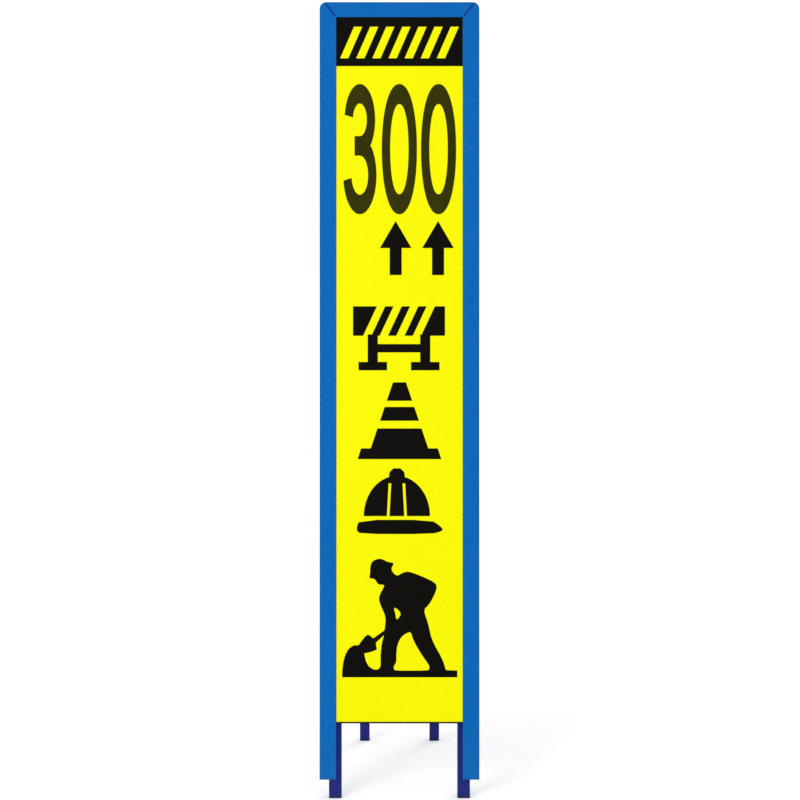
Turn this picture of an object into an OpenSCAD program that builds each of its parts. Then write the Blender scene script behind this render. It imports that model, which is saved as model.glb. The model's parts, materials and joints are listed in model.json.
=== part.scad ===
// Free-standing roadworks sign: a slim plate in a profiled steel frame, on an A-shaped folding stand.
// The sign face leans back, the rear leg frame folds flat on a hinge and a hooked stay holds it open.
// +Z is up, the sign faces -Y, and the origin is on the ground at the middle of the footprint.

/* [Sign plate] */
// Width of the sign plate
plate_w = 275; // [240:5:400]
// Height of the sign plate
plate_h = 1400; // [1350:10:1700]
// Thickness of the steel plate
plate_t = 1; // [0.8:0.1:2]
// Thickness of the reflective sheeting on the plate
sheet_t = 0.4; // [0.2:0.1:0.8]
// Thickness of the cut films on the sheeting
film_t = 0.2; // [0.1:0.05:0.4]
// Height of the plate's lower edge, along the face
plate_v = 150; // [130:1:170]
// Wall of the edge trim under the plate
trim_t = 1.2; // [0.8:0.1:2]
// Height of the trim's two lips
trim_lap = 1.8; // [1:0.1:5]

/* [Frame profile] */
// Width of the uprights' face
face_w = 33; // [32:0.5:40]
// Width of the top rail's face
rail_face_w = 30; // [29:0.5:40]
// Depth of the profile from front to back
frame_d = 26; // [22:0.5:32]
// Width of the hollow box on the profile's outer side
box_w = 18.5; // [16:0.5:19]
// Wall of the profile
wall = 1.6; // [1.4:0.1:2]
// How far the plate reaches in under the uprights' lips
plate_lap = 13; // [8:0.5:13]
// How far the plate reaches in under the top rail's lips
top_lap = 10; // [6:0.5:11]
// Play before and behind the plate in its groove
groove_play = 0.2; // [0.1:0.05:0.5]
// Radius of the face's outer edge
edge_r = 3; // [1:0.5:4]
// Radius of the lip's front edge
lip_r = 1.2; // [0.5:0.1:1.3]
// Radius of the profile's rear edges
back_r = 2; // [1:0.5:4]
// Radius of the frame's two upper corners
corner_r = 13; // [6:0.5:18]
// Distance of the mitre's upper end from the side
mitre_inset = 8.5; // [5:0.5:15]
// Height of the uprights' lower ends, along the face
upright_v = 38; // [20:1:60]
// Width of the corner weld
bead_w = 4.6; // [3:0.1:6]
// How far the corner weld stands proud
bead_crown = 0.5; // [0.3:0.1:1]
// Depth of the corner weld in its groove
bead_root = 1; // [0.5:0.1:1.2]
// Bare length of the mitre at each end of the weld
bead_end = 3; // [2:0.5:6]

/* [Front legs] */
// Side of the front legs' square tube
leg_w = 25; // [22:0.5:32]
// Wall of that tube
leg_wall = 1.6; // [1.2:0.1:2.5]
// Outer corner radius of that tube
leg_r = 2.5; // [2:0.1:4]
// How far the front legs run past the hinge
leg_over = 40; // [25:1:80]
// Height of the front tubes' lower ends, along the face
foot_h = 9; // [8:0.5:14]
// Height of the lower crossbar's middle, along the face
crossbar_v = 350; // [300:5:450]
// Width of the bottom rail's two flanges
rail_w = 24; // [18:0.5:25]
// Thickness of the bottom rail
rail_t = 2; // [1.5:0.1:4]
// Height of the bottom rail above the plate's lower edge
rail_rise = 6; // [4:0.5:20]

/* [Rear legs] */
// Backward lean of the sign face, in degrees
lean = 10; // [7:0.5:13]
// Ground distance from the face to the rear legs' middle
rear_reach = 464; // [420:2:520]
// Height of the hinge, along the face
hinge_v = 1230; // [1150:5:1280]
// Side of the rear legs' square tube
rear_w = 20; // [18:0.5:25]
// Wall of that tube
rear_wall = 1.5; // [1.2:0.1:2]
// Outer corner radius of that tube
rear_r = 2; // [1.8:0.1:4]
// Distance between the middles of the rear legs
rear_pitch = 144; // [120:2:150]
// How far the rear legs run past the hinge, with their caps
rear_over = 14; // [12:0.5:20]
// Height of the rear tubes' lower ends above the ground
rear_foot_h = 8; // [6:0.5:14]
// Distance of the rear tie from the hinge
tie_drop = 350; // [250:5:420]

/* [Caps and plugs] */
// Thickness of the caps' flanges
cap_t = 2; // [1.5:0.1:4]
// Length of the plugs inside the tubes
plug_len = 16; // [10:1:30]
// Play of the plugs inside the tubes
plug_play = 0.1; // [0.05:0.05:0.3]

/* [Hinge] */
// Thickness of the brackets' steel
bracket_t = 3; // [2:0.5:5]
// Radius of the brackets' round ends
ear_r = 12; // [10.5:0.5:12.5]
// Radius of the hinge bolts
pivot_r = 4; // [3:0.5:5]
// Running clearance round the hinge bolts
pivot_play = 0.05; // [0.02:0.01:0.09]
// Wall of the sleeves in the rear legs
sleeve_wall = 1.5; // [1:0.1:2]
// Radius of the thrust washers
thrust_r = 9; // [7.5:0.5:10]
// Thickness of the thrust washers
thrust_t = 0.8; // [0.5:0.1:2]
// Side clearance of the rear legs between the washers
side_play = 0.3; // [0.2:0.1:0.8]
// Clearance of the rear legs' upper ends as they swing
swing_play = 0.6; // [0.4:0.1:3]
// Width of the hinge bolts' heads across the flats
pivot_af = 13; // [12:0.5:15]
// Height of the hinge bolts' heads
pivot_head = 5.3; // [3:0.1:8]
// Height of the hinge nuts
pivot_nut = 8; // [4:0.1:10]
// Radius of the hinge washers
pivot_washer_r = 8; // [7.5:0.1:10]
// Thickness of the hinge washers
pivot_washer_t = 1.6; // [1:0.1:3]
// Thread that stands out of the nuts
thread_out = 2; // [1:0.5:6]

/* [Stay] */
// Thickness of the stay
stay_t = 5; // [3:0.5:8]
// Height of the stay's shank, whose pivot end is round
stay_h = 16; // [13:0.5:20]
// Radius of the round bar that the stay hooks on
hook_bar_r = 6; // [4:0.5:8]
// Clearance of the hook round that bar
hook_play = 0.5; // [0.3:0.05:1]
// Width of the lip that is welded to the shank's end
hook_lip_w = 9; // [6:0.5:15]
// Radius of the lip's outer corners
hook_lip_r = 3; // [1:0.5:3]
// Drop of the hook's lip below the bar's middle
hook_drop = 4; // [2:0.5:8]
// Clearance of the folded bar below the stay's bracket
fold_play = 2; // [1:0.5:6]

/* [Fasteners] */
// Radius of the leg bolts
bolt_r = 3; // [2.5:0.25:3.5]
// Width of the leg bolts' heads across the flats
bolt_af = 10; // [8:0.5:11]
// Height of the leg bolts' heads
bolt_head = 4; // [3:0.1:6]
// Radius of the leg bolts' washers
washer_r = 6; // [5.8:0.1:7]
// Thickness of those washers
washer_t = 1.2; // [0.8:0.1:2]
// Radial clearance of bolts in drilled holes
hole_play = 0.3; // [0.2:0.05:0.8]
// Radial clearance of sleeves, rivet nuts and threads in their seats
seat_play = 0.05; // [0.02:0.01:0.1]
// Radius of the rivet nuts' bodies
rivet_r = 4.5; // [4:0.1:5]
// Radius of the rivet nuts' bulged collars
collar_r = 5.6; // [5.2:0.1:6.5]
// Length of the rivet nuts' bulged collars
collar_t = 2.5; // [2:0.1:4]
// Length of the rivet nuts
rivet_len = 14; // [11:0.5:16]
// Distance of bolt rows from the crossbars' middles
bolt_off = 60; // [40:1:100]
// Radius of the plate's weld studs
stud_r = 2.5; // [2:0.25:3]
// Length of the plate's weld studs
stud_len = 14; // [12:0.5:22]
// Distance between the two weld studs
stud_pitch = 140; // [80:2:180]
// Width of the stud nuts across the flats
stud_af = 8; // [7:0.5:10]
// Height of the stud nuts
stud_nut = 4; // [3:0.1:6]

/* [Hidden] */
$fn = 64;

// Colours
frame_blue = "#0567b5";
weld_blue = "#003ea0";
stand_indigo = "#232d78";
foot_navy = "#172163";
sign_yellow = "#fefc03";
film_black = "#0f0d06";
number_olive = "#32320a";
zinc = "#b4b8bc";
bare_steel = "#9a9fa3";
nylon = "#e8e6dc";

// Cuts run past the faces that they open by this much
overrun = 2;
// Straight steps in a rounded edge
arc_steps = 6;
// Straight steps in a printed curve
curve_steps = 28;

// Depths behind the sign's face
film_front = wall + groove_play;
sheet_front = film_front + film_t;
plate_front = sheet_front + sheet_t;
plate_back = plate_front + plate_t;
leg_front = plate_back + groove_play + wall;
leg_mid = leg_front + leg_w / 2;
leg_back = leg_front + leg_w;
bolt_w = frame_d / 2;

// Widths from the middle and heights along the face
half_w = plate_w / 2 - plate_lap + face_w;
top_v = plate_v + plate_h - top_lap + rail_face_w;
opening_w = 2 * (half_w - face_w);
leg_out = half_w - box_w;
leg_in = leg_out - leg_w;
leg_x = leg_out - leg_w / 2;
upright_end = upright_v + cap_t;
leg_top = hinge_v + leg_over;
bolt_rows = [crossbar_v - bolt_off, crossbar_v + bolt_off, (crossbar_v + hinge_v) / 2, hinge_v - bolt_off];

// The mitre runs from the opening's corner to the top edge
mitre_low = [-half_w + face_w, top_v - rail_face_w];
mitre_high = [-half_w + mitre_inset, top_v];
mitre_run = mitre_high - mitre_low;
mitre_len = norm(mitre_run);
mitre_past = mitre_high + mitre_run * overrun / mitre_len;
// The rail's box meets the uprights' boxes on the mitre
rail_box_w = (box_w - mitre_inset) * rail_face_w / (face_w - mitre_inset);
// The plate has as much room above it as beside it
pocket_top = plate_v + plate_h + leg_out - plate_w / 2;

// The hinge stands off the crossbar far enough for the rear legs' upper corners to swing
hinge_off = bracket_t + norm([rear_w / 2, rear_over]) + swing_play;
hinge_w = leg_back + hinge_off;
hinge_y = hinge_v * sin(lean) + hinge_w * cos(lean);
hinge_z = hinge_v * cos(lean) - hinge_w * sin(lean);
rear_angle = atan((rear_reach - hinge_y) / hinge_z);
rear_len = hinge_z / cos(rear_angle);
fold_angle = lean + rear_angle;
rear_x = rear_pitch / 2;
ear_in = rear_w / 2 + side_play + thrust_t;
ear_out = ear_in + bracket_t;
sleeve_r = pivot_r + pivot_play + sleeve_wall;

// The stay's pivot lies above the place that the hook bar folds to
stay_lift = ear_r + hook_bar_r + fold_play;
hook_run = hinge_v - crossbar_v + stay_lift;
pivot_y = crossbar_v * sin(lean) + hinge_w * cos(lean);
pivot_z = crossbar_v * cos(lean) - hinge_w * sin(lean);
hook_y = hinge_y + hook_run * sin(rear_angle);
hook_z = hinge_z - hook_run * cos(rear_angle);
hook_dip = atan2(pivot_z - hook_z, hook_y - pivot_y);
hook_len = norm([hook_y - pivot_y, hook_z - pivot_z]);
hook_r = hook_bar_r + hook_play;

// The straight shank runs over the bar, and its lip drops behind it
stay_rise = hook_r + stay_h / 2;
stay_run = sqrt(pow(hook_len, 2) - pow(stay_rise, 2)) + hook_r;
stay_dip = hook_dip - asin(stay_rise / hook_len);
stay_ear_in = stay_t / 2 + side_play;
stay_ear_out = stay_ear_in + bracket_t;

// The footprint's middle, from the front feet's toes to the rear feet's heels
front_y = leg_front / cos(lean);
rear_y = rear_reach + rear_w / 2 / cos(rear_angle);
middle_y = (front_y + rear_y) / 2;
ground_w = 2 * (half_w + rear_reach);

// Shares of the opening's width and the plate's height: left, right, lower and upper
digit_box_shares = [
  [-0.445, -0.182, 0.7155, 0.899], [-0.140, 0.138, 0.7155, 0.899], [0.170, 0.448, 0.7155, 0.899]
];
arrow_box_shares = [[-0.155, 0.095, 0.6300, 0.7060], [0.180, 0.430, 0.6300, 0.7060]];
barrier_box_shares = [-0.368, 0.360, 0.4960, 0.5860];
cone_box_shares = [-0.345, 0.345, 0.3710, 0.4790];
helmet_box_shares = [-0.345, 0.345, 0.2530, 0.3580];
worker_box_shares = [-0.462, 0.462, 0.0640, 0.2290];
header_h_share = 0.076;
// Slanted bars of the header: first left end, pitch, width and slant across, lower and upper end
header_bar_shares = [-0.470, 0.1275, 0.065, 0.110];
header_bar_v_shares = [0.9350, 0.9795];
header_bars = 7;

// Figures: shares of a digit's width and height
zero_stroke_shares = [0.238, 0.154];
zero_squareness = 2.15;
three_upper_shares = [0.5, 0.725, 0.46, 0.275];
three_lower_shares = [0.5, 0.30, 0.50, 0.30];
three_upper_hole_shares = [0.5, 0.725, 0.21, 0.125];
three_lower_hole_shares = [0.5, 0.30, 0.25, 0.15];
three_arm_shares = [[0.34, 0.45], [0.34, 0.60]];
three_end = 172;
three_waist = 47.5;

// Pictograms: shares of each one's width and height
arrow_shares = [[0, 0.5], [0.5, 1], [1, 0.5], [0.69, 0.5], [0.69, 0], [0.31, 0], [0.31, 0.5]];
barrier_plank_shares = [[0, 0.54], [1, 0.54], [1, 1], [0, 1]];
barrier_gap_shares = [[0.11, 0.54], [0.20, 0.54], [0.35, 1], [0.26, 1]];
barrier_gap_places_shares = [0, 0.18, 0.36, 0.54];
barrier_rail_shares = [[0.16, 0.28], [0.84, 0.28], [0.84, 0.41], [0.16, 0.41]];
barrier_post_shares = [[0.16, 0.06], [0.27, 0.06], [0.27, 0.56], [0.16, 0.56]];
barrier_foot_shares = [[0.06, 0], [0.37, 0], [0.37, 0.13], [0.06, 0.13]];
cone_base_shares = [[0.02, 0], [0.98, 0], [0.94, 0.14], [0.06, 0.14]];
cone_body_shares = [[0.17, 0.14], [0.83, 0.14], [0.575, 1], [0.425, 1]];
cone_band_shares = [[0.40, 0.50], [0.68, 0.76]];
helmet_dome_shares = [0.47, 0.36, 0.38, 0.54];
helmet_brim_shares = [
  [0, 0.18], [0.05, 0.12], [0.86, 0.12], [1, 0.16], [0.98, 0.22], [0.86, 0.31], [0.04, 0.31]
];
helmet_ridge_shares = [[0.37, 0.80], [0.57, 0.80], [0.55, 1], [0.39, 1]];
helmet_line_shares = [[0.355, 0.36], [0.385, 0.36], [0.405, 0.80], [0.375, 0.80]];

// Digging worker: a plain silhouette with a helmet, a shovel and a heap
worker_outline_shares = [
  [0.985, 0.000], [0.995, 0.000], [0.995, 0.010], [0.995, 0.048], [0.995, 0.058], [0.985, 0.059],
  [0.915, 0.059], [0.893, 0.066], [0.887, 0.100], [0.861, 0.169], [0.774, 0.321], [0.746, 0.463],
  [0.703, 0.574], [0.756, 0.621], [0.810, 0.724], [0.821, 0.781], [0.796, 0.813], [0.698, 0.859],
  [0.574, 0.907], [0.521, 0.888], [0.473, 0.860], [0.422, 0.922], [0.459, 0.976], [0.402, 0.981],
  [0.358, 1.007], [0.316, 1.012], [0.264, 0.990], [0.248, 0.938], [0.249, 0.885], [0.239, 0.842],
  [0.289, 0.842], [0.316, 0.788], [0.376, 0.791], [0.353, 0.746], [0.319, 0.679], [0.338, 0.612],
  [0.384, 0.515], [0.375, 0.430], [0.373, 0.412], [0.370, 0.400], [0.358, 0.391], [0.292, 0.344],
  [0.281, 0.334], [0.268, 0.336], [0.254, 0.352], [0.230, 0.365], [0.207, 0.351], [0.165, 0.297],
  [0.152, 0.276], [0.140, 0.272], [0.104, 0.274], [0.058, 0.238], [0.026, 0.168], [0.010, 0.075],
  [0.008, 0.010], [0.008, 0.000], [0.018, 0.000]
];
worker_spade_hole_shares = [
  [0.197, 0.205], [0.201, 0.188], [0.213, 0.132], [0.243, 0.085], [0.297, 0.060], [0.332, 0.077],
  [0.340, 0.112], [0.337, 0.180], [0.347, 0.285], [0.363, 0.345], [0.367, 0.362], [0.355, 0.348],
  [0.309, 0.306], [0.297, 0.292], [0.301, 0.262], [0.309, 0.238], [0.284, 0.225], [0.222, 0.207]
];
worker_leg_hole_shares = [
  [0.470, 0.057], [0.452, 0.066], [0.450, 0.094], [0.474, 0.128], [0.473, 0.202], [0.480, 0.270],
  [0.510, 0.340], [0.560, 0.378], [0.600, 0.387], [0.612, 0.325], [0.684, 0.199], [0.757, 0.100],
  [0.754, 0.066], [0.732, 0.057]
];
worker_arm_hole_shares = [
  [0.450, 0.594], [0.474, 0.590], [0.517, 0.545], [0.485, 0.494], [0.470, 0.499], [0.467, 0.535]
];

// Points on an arc
function arc_points(centre, r, from, to) =
  [for (i = [0 : arc_steps]) let (a = from + (to - from) * i / arc_steps) centre + r * [cos(a), sin(a)]];

// Points on part of an oval given as middle and half sizes
function oval_points(oval, from, to) =
  [for (i = [0 : curve_steps]) let (a = from + (to - from) * i / curve_steps)
    [oval[0] + oval[2] * cos(a), oval[1] + oval[3] * sin(a)]];

// A loop with straighter sides than an oval
function loop_points(oval, squareness) =
  [for (i = [0 : 2 * curve_steps - 1]) let (a = 180 * i / curve_steps)
    [oval[0] + oval[2] * sign(cos(a)) * pow(abs(cos(a)), 2 / squareness),
     oval[1] + oval[3] * sign(sin(a)) * pow(abs(sin(a)), 2 / squareness)]];

// One pass of corner cutting round a closed outline
function eased(points) =
  [for (i = [0 : len(points) - 1], s = [0.25, 0.75])
    points[i] * (1 - s) + points[(i + 1) % len(points)] * s];

// Outline points from shares of a box given as left, right, lower and upper
function in_box(points, box) =
  [for (p = points) [box[0] + p[0] * (box[1] - box[0]), box[2] + p[1] * (box[3] - box[2])]];

// A box on the plate from its shares
function panel_box(shares) = [
  shares[0] * opening_w, shares[1] * opening_w,
  plate_v + shares[2] * plate_h, plate_v + shares[3] * plate_h
];

// A square outline with rounded corners
function square_points(side, r) = concat(
  arc_points([side / 2 - r, side / 2 - r], r, 0, 90),
  arc_points([r - side / 2, side / 2 - r], r, 90, 180),
  arc_points([r - side / 2, r - side / 2], r, 180, 270),
  arc_points([side / 2 - r, r - side / 2], r, 270, 360));

// The frame profile from its outer side: a box behind the face and the lips that hold the plate
function profile_points(face, box) = concat(
  arc_points([edge_r, edge_r], edge_r, 180, 270),
  arc_points([face - lip_r, lip_r], lip_r, 270, 360),
  [[face, leg_front], [box, leg_front]],
  arc_points([box - back_r, frame_d - back_r], back_r, 0, 90),
  arc_points([back_r, frame_d - back_r], back_r, 90, 180));

// The rounded corner from its middle: the profile's outer side, with room before and behind it
function corner_points() = concat(
  [[0, -2 * overrun], [corner_r - edge_r, -2 * overrun]],
  arc_points([corner_r - edge_r, edge_r], edge_r, -90, 0),
  arc_points([corner_r - back_r, frame_d - back_r], back_r, 0, 90),
  [[corner_r - back_r, frame_d + 2 * overrun], [0, frame_d + 2 * overrun]]);

// Places what is drawn on the sign face: y is the depth behind it and z the height along it
module on_front() {
  translate([0, -middle_y, 0]) rotate([-lean, 0, 0]) children();
}

// Places what is drawn on the rear leg frame, from its hinge
module on_rear() {
  translate([0, hinge_y - middle_y, hinge_z]) rotate([rear_angle, 0, 0]) children();
}

// Places what is drawn on the stay, from its pivot towards its hook
module on_stay() {
  translate([0, pivot_y - middle_y, pivot_z]) rotate([-stay_dip, 0, 0]) children();
}

// Draws a part and its mirror image
module both_sides() {
  children();
  mirror([1, 0, 0]) children();
}

// The space below the ground
module ground() {
  translate([-ground_w / 2, -ground_w / 2, -ground_w]) cube(ground_w);
}

// A flat shape in the y-z plane, thickened across x about the middle
module side_plate(t) {
  rotate([90, 0, 90]) translate([0, 0, -t / 2]) linear_extrude(t) children();
}

// A flat shape on the sign face, from one depth to another
module face_prism(front, back) {
  translate([0, back, 0]) rotate([90, 0, 0]) linear_extrude(back - front) children();
}

// A round rod and a hexagon that run along +x
module rod_x(r, h) {
  rotate([0, 90, 0]) cylinder(r = r, h = h);
}

module hex_x(af, h) {
  rotate([0, 90, 0]) cylinder(r = af / 2 / cos(30), h = h, $fn = 6);
}

module ring_x(r, bore, h) {
  difference() {
    rod_x(r, h);
    translate([-overrun, 0, 0]) rod_x(bore, h + 2 * overrun);
  }
}

// A hexagon nut with its bore, along +x
module nut_x(af, bore, h) {
  difference() {
    hex_x(af, h);
    translate([-overrun, 0, 0]) rod_x(bore, h + 2 * overrun);
  }
}

module tube_section(side, t, r) {
  difference() {
    polygon(square_points(side, r));
    polygon(square_points(side - 2 * t, max(r - t, t / 4)));
  }
}

// A square tube along +x, about the middle
module cross_tube(len, side, t, r) {
  translate([-len / 2, 0, 0]) rotate([0, 90, 0]) linear_extrude(len) tube_section(side, t, r);
}

// The part of a plug inside a square tube, downwards from z = 0
module plug_core(side, t, r, len = plug_len) {
  core = side - 2 * t - 2 * plug_play;
  translate([0, 0, -len]) linear_extrude(len) polygon(square_points(core, max(r - t, t / 4)));
}

// A flat-topped cap with its plug, standing on a tube's end at z = 0
module tube_cap(side, t, r) {
  linear_extrude(cap_t) polygon(square_points(side, r));
  plug_core(side, t, r);
}

// The space that the plate and its films have between the lips
module plate_pocket() {
  translate([-leg_out, wall, 0]) cube([2 * leg_out, plate_back + groove_play - wall, pocket_top]);
}

// What rounding takes off the upper left corner
module corner_cut() {
  difference() {
    translate([-half_w - overrun, -overrun, top_v - corner_r])
      cube([corner_r + overrun, frame_d + 2 * overrun, corner_r + overrun]);
    translate([-half_w + corner_r, 0, top_v - corner_r])
      rotate([-90, 0, 0]) rotate_extrude() polygon(corner_points());
  }
}

// The weld along the left mitre, with its root in the joint
module mitre_bead() {
  run = mitre_len - 2 * bead_end - edge_r;
  crown = oval_points([0, 0, bead_w / 2, bead_crown], 180, 360);
  translate([mitre_low[0], 0, mitre_low[1]])
    rotate([0, atan2(mitre_run[0], mitre_run[1]), 0])
      translate([0, 0, bead_end]) linear_extrude(run) polygon(concat(crown, [[0, bead_root]]));
}

// Places its children on every leg bolt's axis, at the left leg's inner face and pointing outwards
module at_left_bolts() {
  for (v = bolt_rows)
    translate([-leg_in, bolt_w, v]) mirror([1, 0, 0]) children();
}

// Left half of the frame's uprights, mitred at the top
module upright() {
  difference() {
    translate([-half_w, 0, upright_end])
      linear_extrude(top_v - upright_end) polygon(profile_points(face_w, box_w));
    translate([-half_w + wall, wall, upright_end - overrun])
      cube([box_w - 2 * wall, frame_d - 2 * wall, mitre_low[1] - upright_end + overrun]);
    plate_pocket();
    face_prism(-overrun, frame_d + overrun) polygon([
      mitre_low, mitre_past, [mitre_low[0] + overrun, mitre_past[1]], [mitre_low[0] + overrun, mitre_low[1]]
    ]);
    corner_cut();
    mitre_bead();
    at_left_bolts() rod_x(rivet_r + seat_play, leg_w + rivet_len);
  }
}

module left_upright() {
  color(frame_blue) on_front() upright();
}

module right_upright() {
  color(frame_blue) on_front() mirror([1, 0, 0]) upright();
}

module top_rail() {
  color(frame_blue) on_front() difference() {
    translate([-half_w, 0, top_v]) rotate([0, 90, 0])
      linear_extrude(2 * half_w) polygon(profile_points(rail_face_w, rail_box_w));
    translate([mitre_low[0], wall, top_v - rail_box_w + wall])
      cube([opening_w, frame_d - 2 * wall, rail_box_w - 2 * wall]);
    plate_pocket();
    both_sides() {
      face_prism(-overrun, frame_d + overrun) polygon([
        mitre_low, mitre_past, [-half_w - overrun, mitre_past[1]],
        [-half_w - overrun, mitre_low[1] - overrun], [mitre_low[0], mitre_low[1] - overrun]
      ]);
      corner_cut();
      mitre_bead();
    }
  }
}

module corner_welds() {
  color(weld_blue) on_front() both_sides() mitre_bead();
}

module upright_caps() {
  core = [box_w - 2 * wall - 2 * plug_play, frame_d - 2 * wall - 2 * plug_play];
  color(frame_blue) on_front() both_sides() translate([-half_w, 0, upright_v]) {
    linear_extrude(cap_t) polygon(profile_points(face_w, box_w));
    translate([wall + plug_play, wall + plug_play, cap_t]) cube([core[0], core[1], plug_len]);
  }
}

module sign_plate() {
  color(bare_steel) on_front()
    translate([-plate_w / 2, plate_front, plate_v]) cube([plate_w, plate_t, plate_h]);
}

module face_sheeting() {
  color(sign_yellow) on_front()
    translate([-plate_w / 2, sheet_front, plate_v]) cube([plate_w, sheet_t, plate_h]);
}

// A cut film on the sheeting
module film() {
  on_front() face_prism(film_front, sheet_front) children();
}

module header_film() {
  low = plate_v + plate_h * (1 - header_h_share);
  bar = [for (s = header_bar_shares) s * opening_w];
  ends = [for (s = header_bar_v_shares) plate_v + s * plate_h];
  color(film_black) film() difference() {
    translate([-plate_w / 2, low]) square([plate_w, plate_v + plate_h - low]);
    for (i = [0 : header_bars - 1])
      translate([bar[0] + i * bar[1], 0])
        polygon([[0, ends[0]], [bar[2], ends[0]], [bar[3] + bar[2], ends[1]], [bar[3], ends[1]]]);
  }
}

module three(box) {
  polygon(in_box(concat(
    oval_points(three_upper_shares, three_end, -three_waist),
    oval_points(three_lower_shares, three_waist, -three_end),
    oval_points(three_lower_hole_shares, -three_end, 90),
    three_arm_shares,
    oval_points(three_upper_hole_shares, -90, three_end)), box));
}

module zero(box) {
  middle = [(box[0] + box[1]) / 2, (box[2] + box[3]) / 2];
  size = [box[1] - box[0], box[3] - box[2]];
  hole = [for (i = [0, 1]) size[i] * (0.5 - zero_stroke_shares[i])];
  difference() {
    polygon(loop_points([middle[0], middle[1], size[0] / 2, size[1] / 2], zero_squareness));
    polygon(loop_points([middle[0], middle[1], hole[0], hole[1]], zero_squareness));
  }
}

module number_film() {
  boxes = [for (s = digit_box_shares) panel_box(s)];
  color(number_olive) film() {
    three(boxes[0]);
    zero(boxes[1]);
    zero(boxes[2]);
  }
}

module arrow_film() {
  color(film_black) film()
    for (s = arrow_box_shares) polygon(in_box(arrow_shares, panel_box(s)));
}

module barrier_film() {
  box = panel_box(barrier_box_shares);
  middle = (box[0] + box[1]) / 2;
  color(film_black) film() {
    difference() {
      polygon(in_box(barrier_plank_shares, box));
      for (s = barrier_gap_places_shares)
        polygon(in_box([for (p = barrier_gap_shares) p + [s, 0]], box));
    }
    polygon(in_box(barrier_rail_shares, box));
    translate([middle, 0]) both_sides() translate([-middle, 0]) {
      polygon(in_box(barrier_post_shares, box));
      polygon(in_box(barrier_foot_shares, box));
    }
  }
}

module cone_film() {
  box = panel_box(cone_box_shares);
  color(film_black) film() {
    polygon(in_box(cone_base_shares, box));
    difference() {
      polygon(in_box(cone_body_shares, box));
      for (s = cone_band_shares)
        polygon(in_box([[0, s[0]], [1, s[0]], [1, s[1]], [0, s[1]]], box));
    }
  }
}

module helmet_film() {
  box = panel_box(helmet_box_shares);
  middle = box[0] + helmet_dome_shares[0] * (box[1] - box[0]);
  color(film_black) film() {
    polygon(in_box(eased(helmet_brim_shares), box));
    difference() {
      union() {
        polygon(in_box(oval_points(helmet_dome_shares, 0, 180), box));
        polygon(in_box(eased(helmet_ridge_shares), box));
      }
      translate([middle, 0]) both_sides() translate([-middle, 0])
        polygon(in_box(helmet_line_shares, box));
    }
  }
}

module worker_film() {
  box = panel_box(worker_box_shares);
  holes = [worker_spade_hole_shares, worker_leg_hole_shares, worker_arm_hole_shares];
  color(film_black) film() difference() {
    polygon(in_box(eased(eased(worker_outline_shares)), box));
    for (hole = holes)
      polygon(in_box(eased(eased(hole)), box));
  }
}

module edge_trim() {
  depth = plate_back - sheet_front;
  run = opening_w - 2 * groove_play;
  color(film_black) on_front() difference() {
    translate([-run / 2, sheet_front - trim_t, plate_v - trim_t])
      cube([run, depth + 2 * trim_t, trim_t + trim_lap]);
    translate([-run / 2 - overrun, sheet_front, plate_v])
      cube([run + 2 * overrun, depth, trim_lap + overrun]);
  }
}

// The left front leg, drilled for its bolts
module front_leg() {
  difference() {
    translate([-leg_x, leg_mid, foot_h])
      linear_extrude(leg_top - foot_h) tube_section(leg_w, leg_wall, leg_r);
    translate([leg_w / 2, 0, 0]) at_left_bolts() rod_x(bolt_r + hole_play, 2 * leg_w);
  }
}

module left_leg() {
  color(stand_indigo) on_front() front_leg();
}

module right_leg() {
  color(stand_indigo) on_front() mirror([1, 0, 0]) front_leg();
}

// The left front foot, cut level with the ground
module front_foot() {
  difference() {
    on_front() translate([-leg_x, leg_mid, 0]) {
      translate([0, 0, -foot_h]) linear_extrude(2 * foot_h) polygon(square_points(leg_w, leg_r));
      translate([0, 0, foot_h + plug_len]) plug_core(leg_w, leg_wall, leg_r);
    }
    ground();
  }
}

module left_front_foot() {
  color(foot_navy) front_foot();
}

module right_front_foot() {
  color(foot_navy) mirror([1, 0, 0]) front_foot();
}

module leg_top_caps() {
  color(foot_navy) on_front() both_sides()
    translate([-leg_x, leg_mid, leg_top]) tube_cap(leg_w, leg_wall, leg_r);
}

// Places its children on each weld stud's axis, at the plate's back and pointing rearwards
module at_studs() {
  stud_v = plate_v + rail_rise + rail_t + (rail_w - rail_t) / 2;
  for (x = [-stud_pitch / 2, stud_pitch / 2])
    translate([x, plate_back, stud_v]) rotate([0, 0, 90]) children();
}

module bottom_rail() {
  color(stand_indigo) on_front() difference() {
    translate([-leg_in, plate_back, plate_v + rail_rise]) {
      cube([2 * leg_in, rail_t, rail_w]);
      cube([2 * leg_in, rail_w, rail_t]);
    }
    at_studs() translate([-overrun, 0, 0]) rod_x(stud_r + hole_play, rail_t + 2 * overrun);
  }
}

module lower_crossbar() {
  color(stand_indigo) on_front()
    translate([0, leg_mid, crossbar_v]) cross_tube(2 * leg_in, leg_w, leg_wall, leg_r);
}

module hinge_crossbar() {
  color(stand_indigo) on_front()
    translate([0, leg_mid, hinge_v]) cross_tube(2 * leg_in, leg_w, leg_wall, leg_r);
}

// A forked bracket behind a crossbar: a base and two drilled ears
module fork(inner) {
  outer = inner + bracket_t;
  difference() {
    union() {
      translate([-outer, 0, -ear_r]) cube([2 * outer, bracket_t, 2 * ear_r]);
      for (x = [-1, 1])
        translate([x * (inner + bracket_t / 2), 0, 0]) side_plate(bracket_t)
          polygon(concat([[0, ear_r], [0, -ear_r]],
            arc_points([hinge_off, 0], ear_r, -90, 0), arc_points([hinge_off, 0], ear_r, 0, 90)));
    }
    translate([-outer - overrun, hinge_off, 0]) rod_x(pivot_r + pivot_play, 2 * (outer + overrun));
  }
}

module left_hinge_bracket() {
  color(stand_indigo) on_front() translate([-rear_x, leg_back, hinge_v]) fork(ear_in);
}

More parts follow.
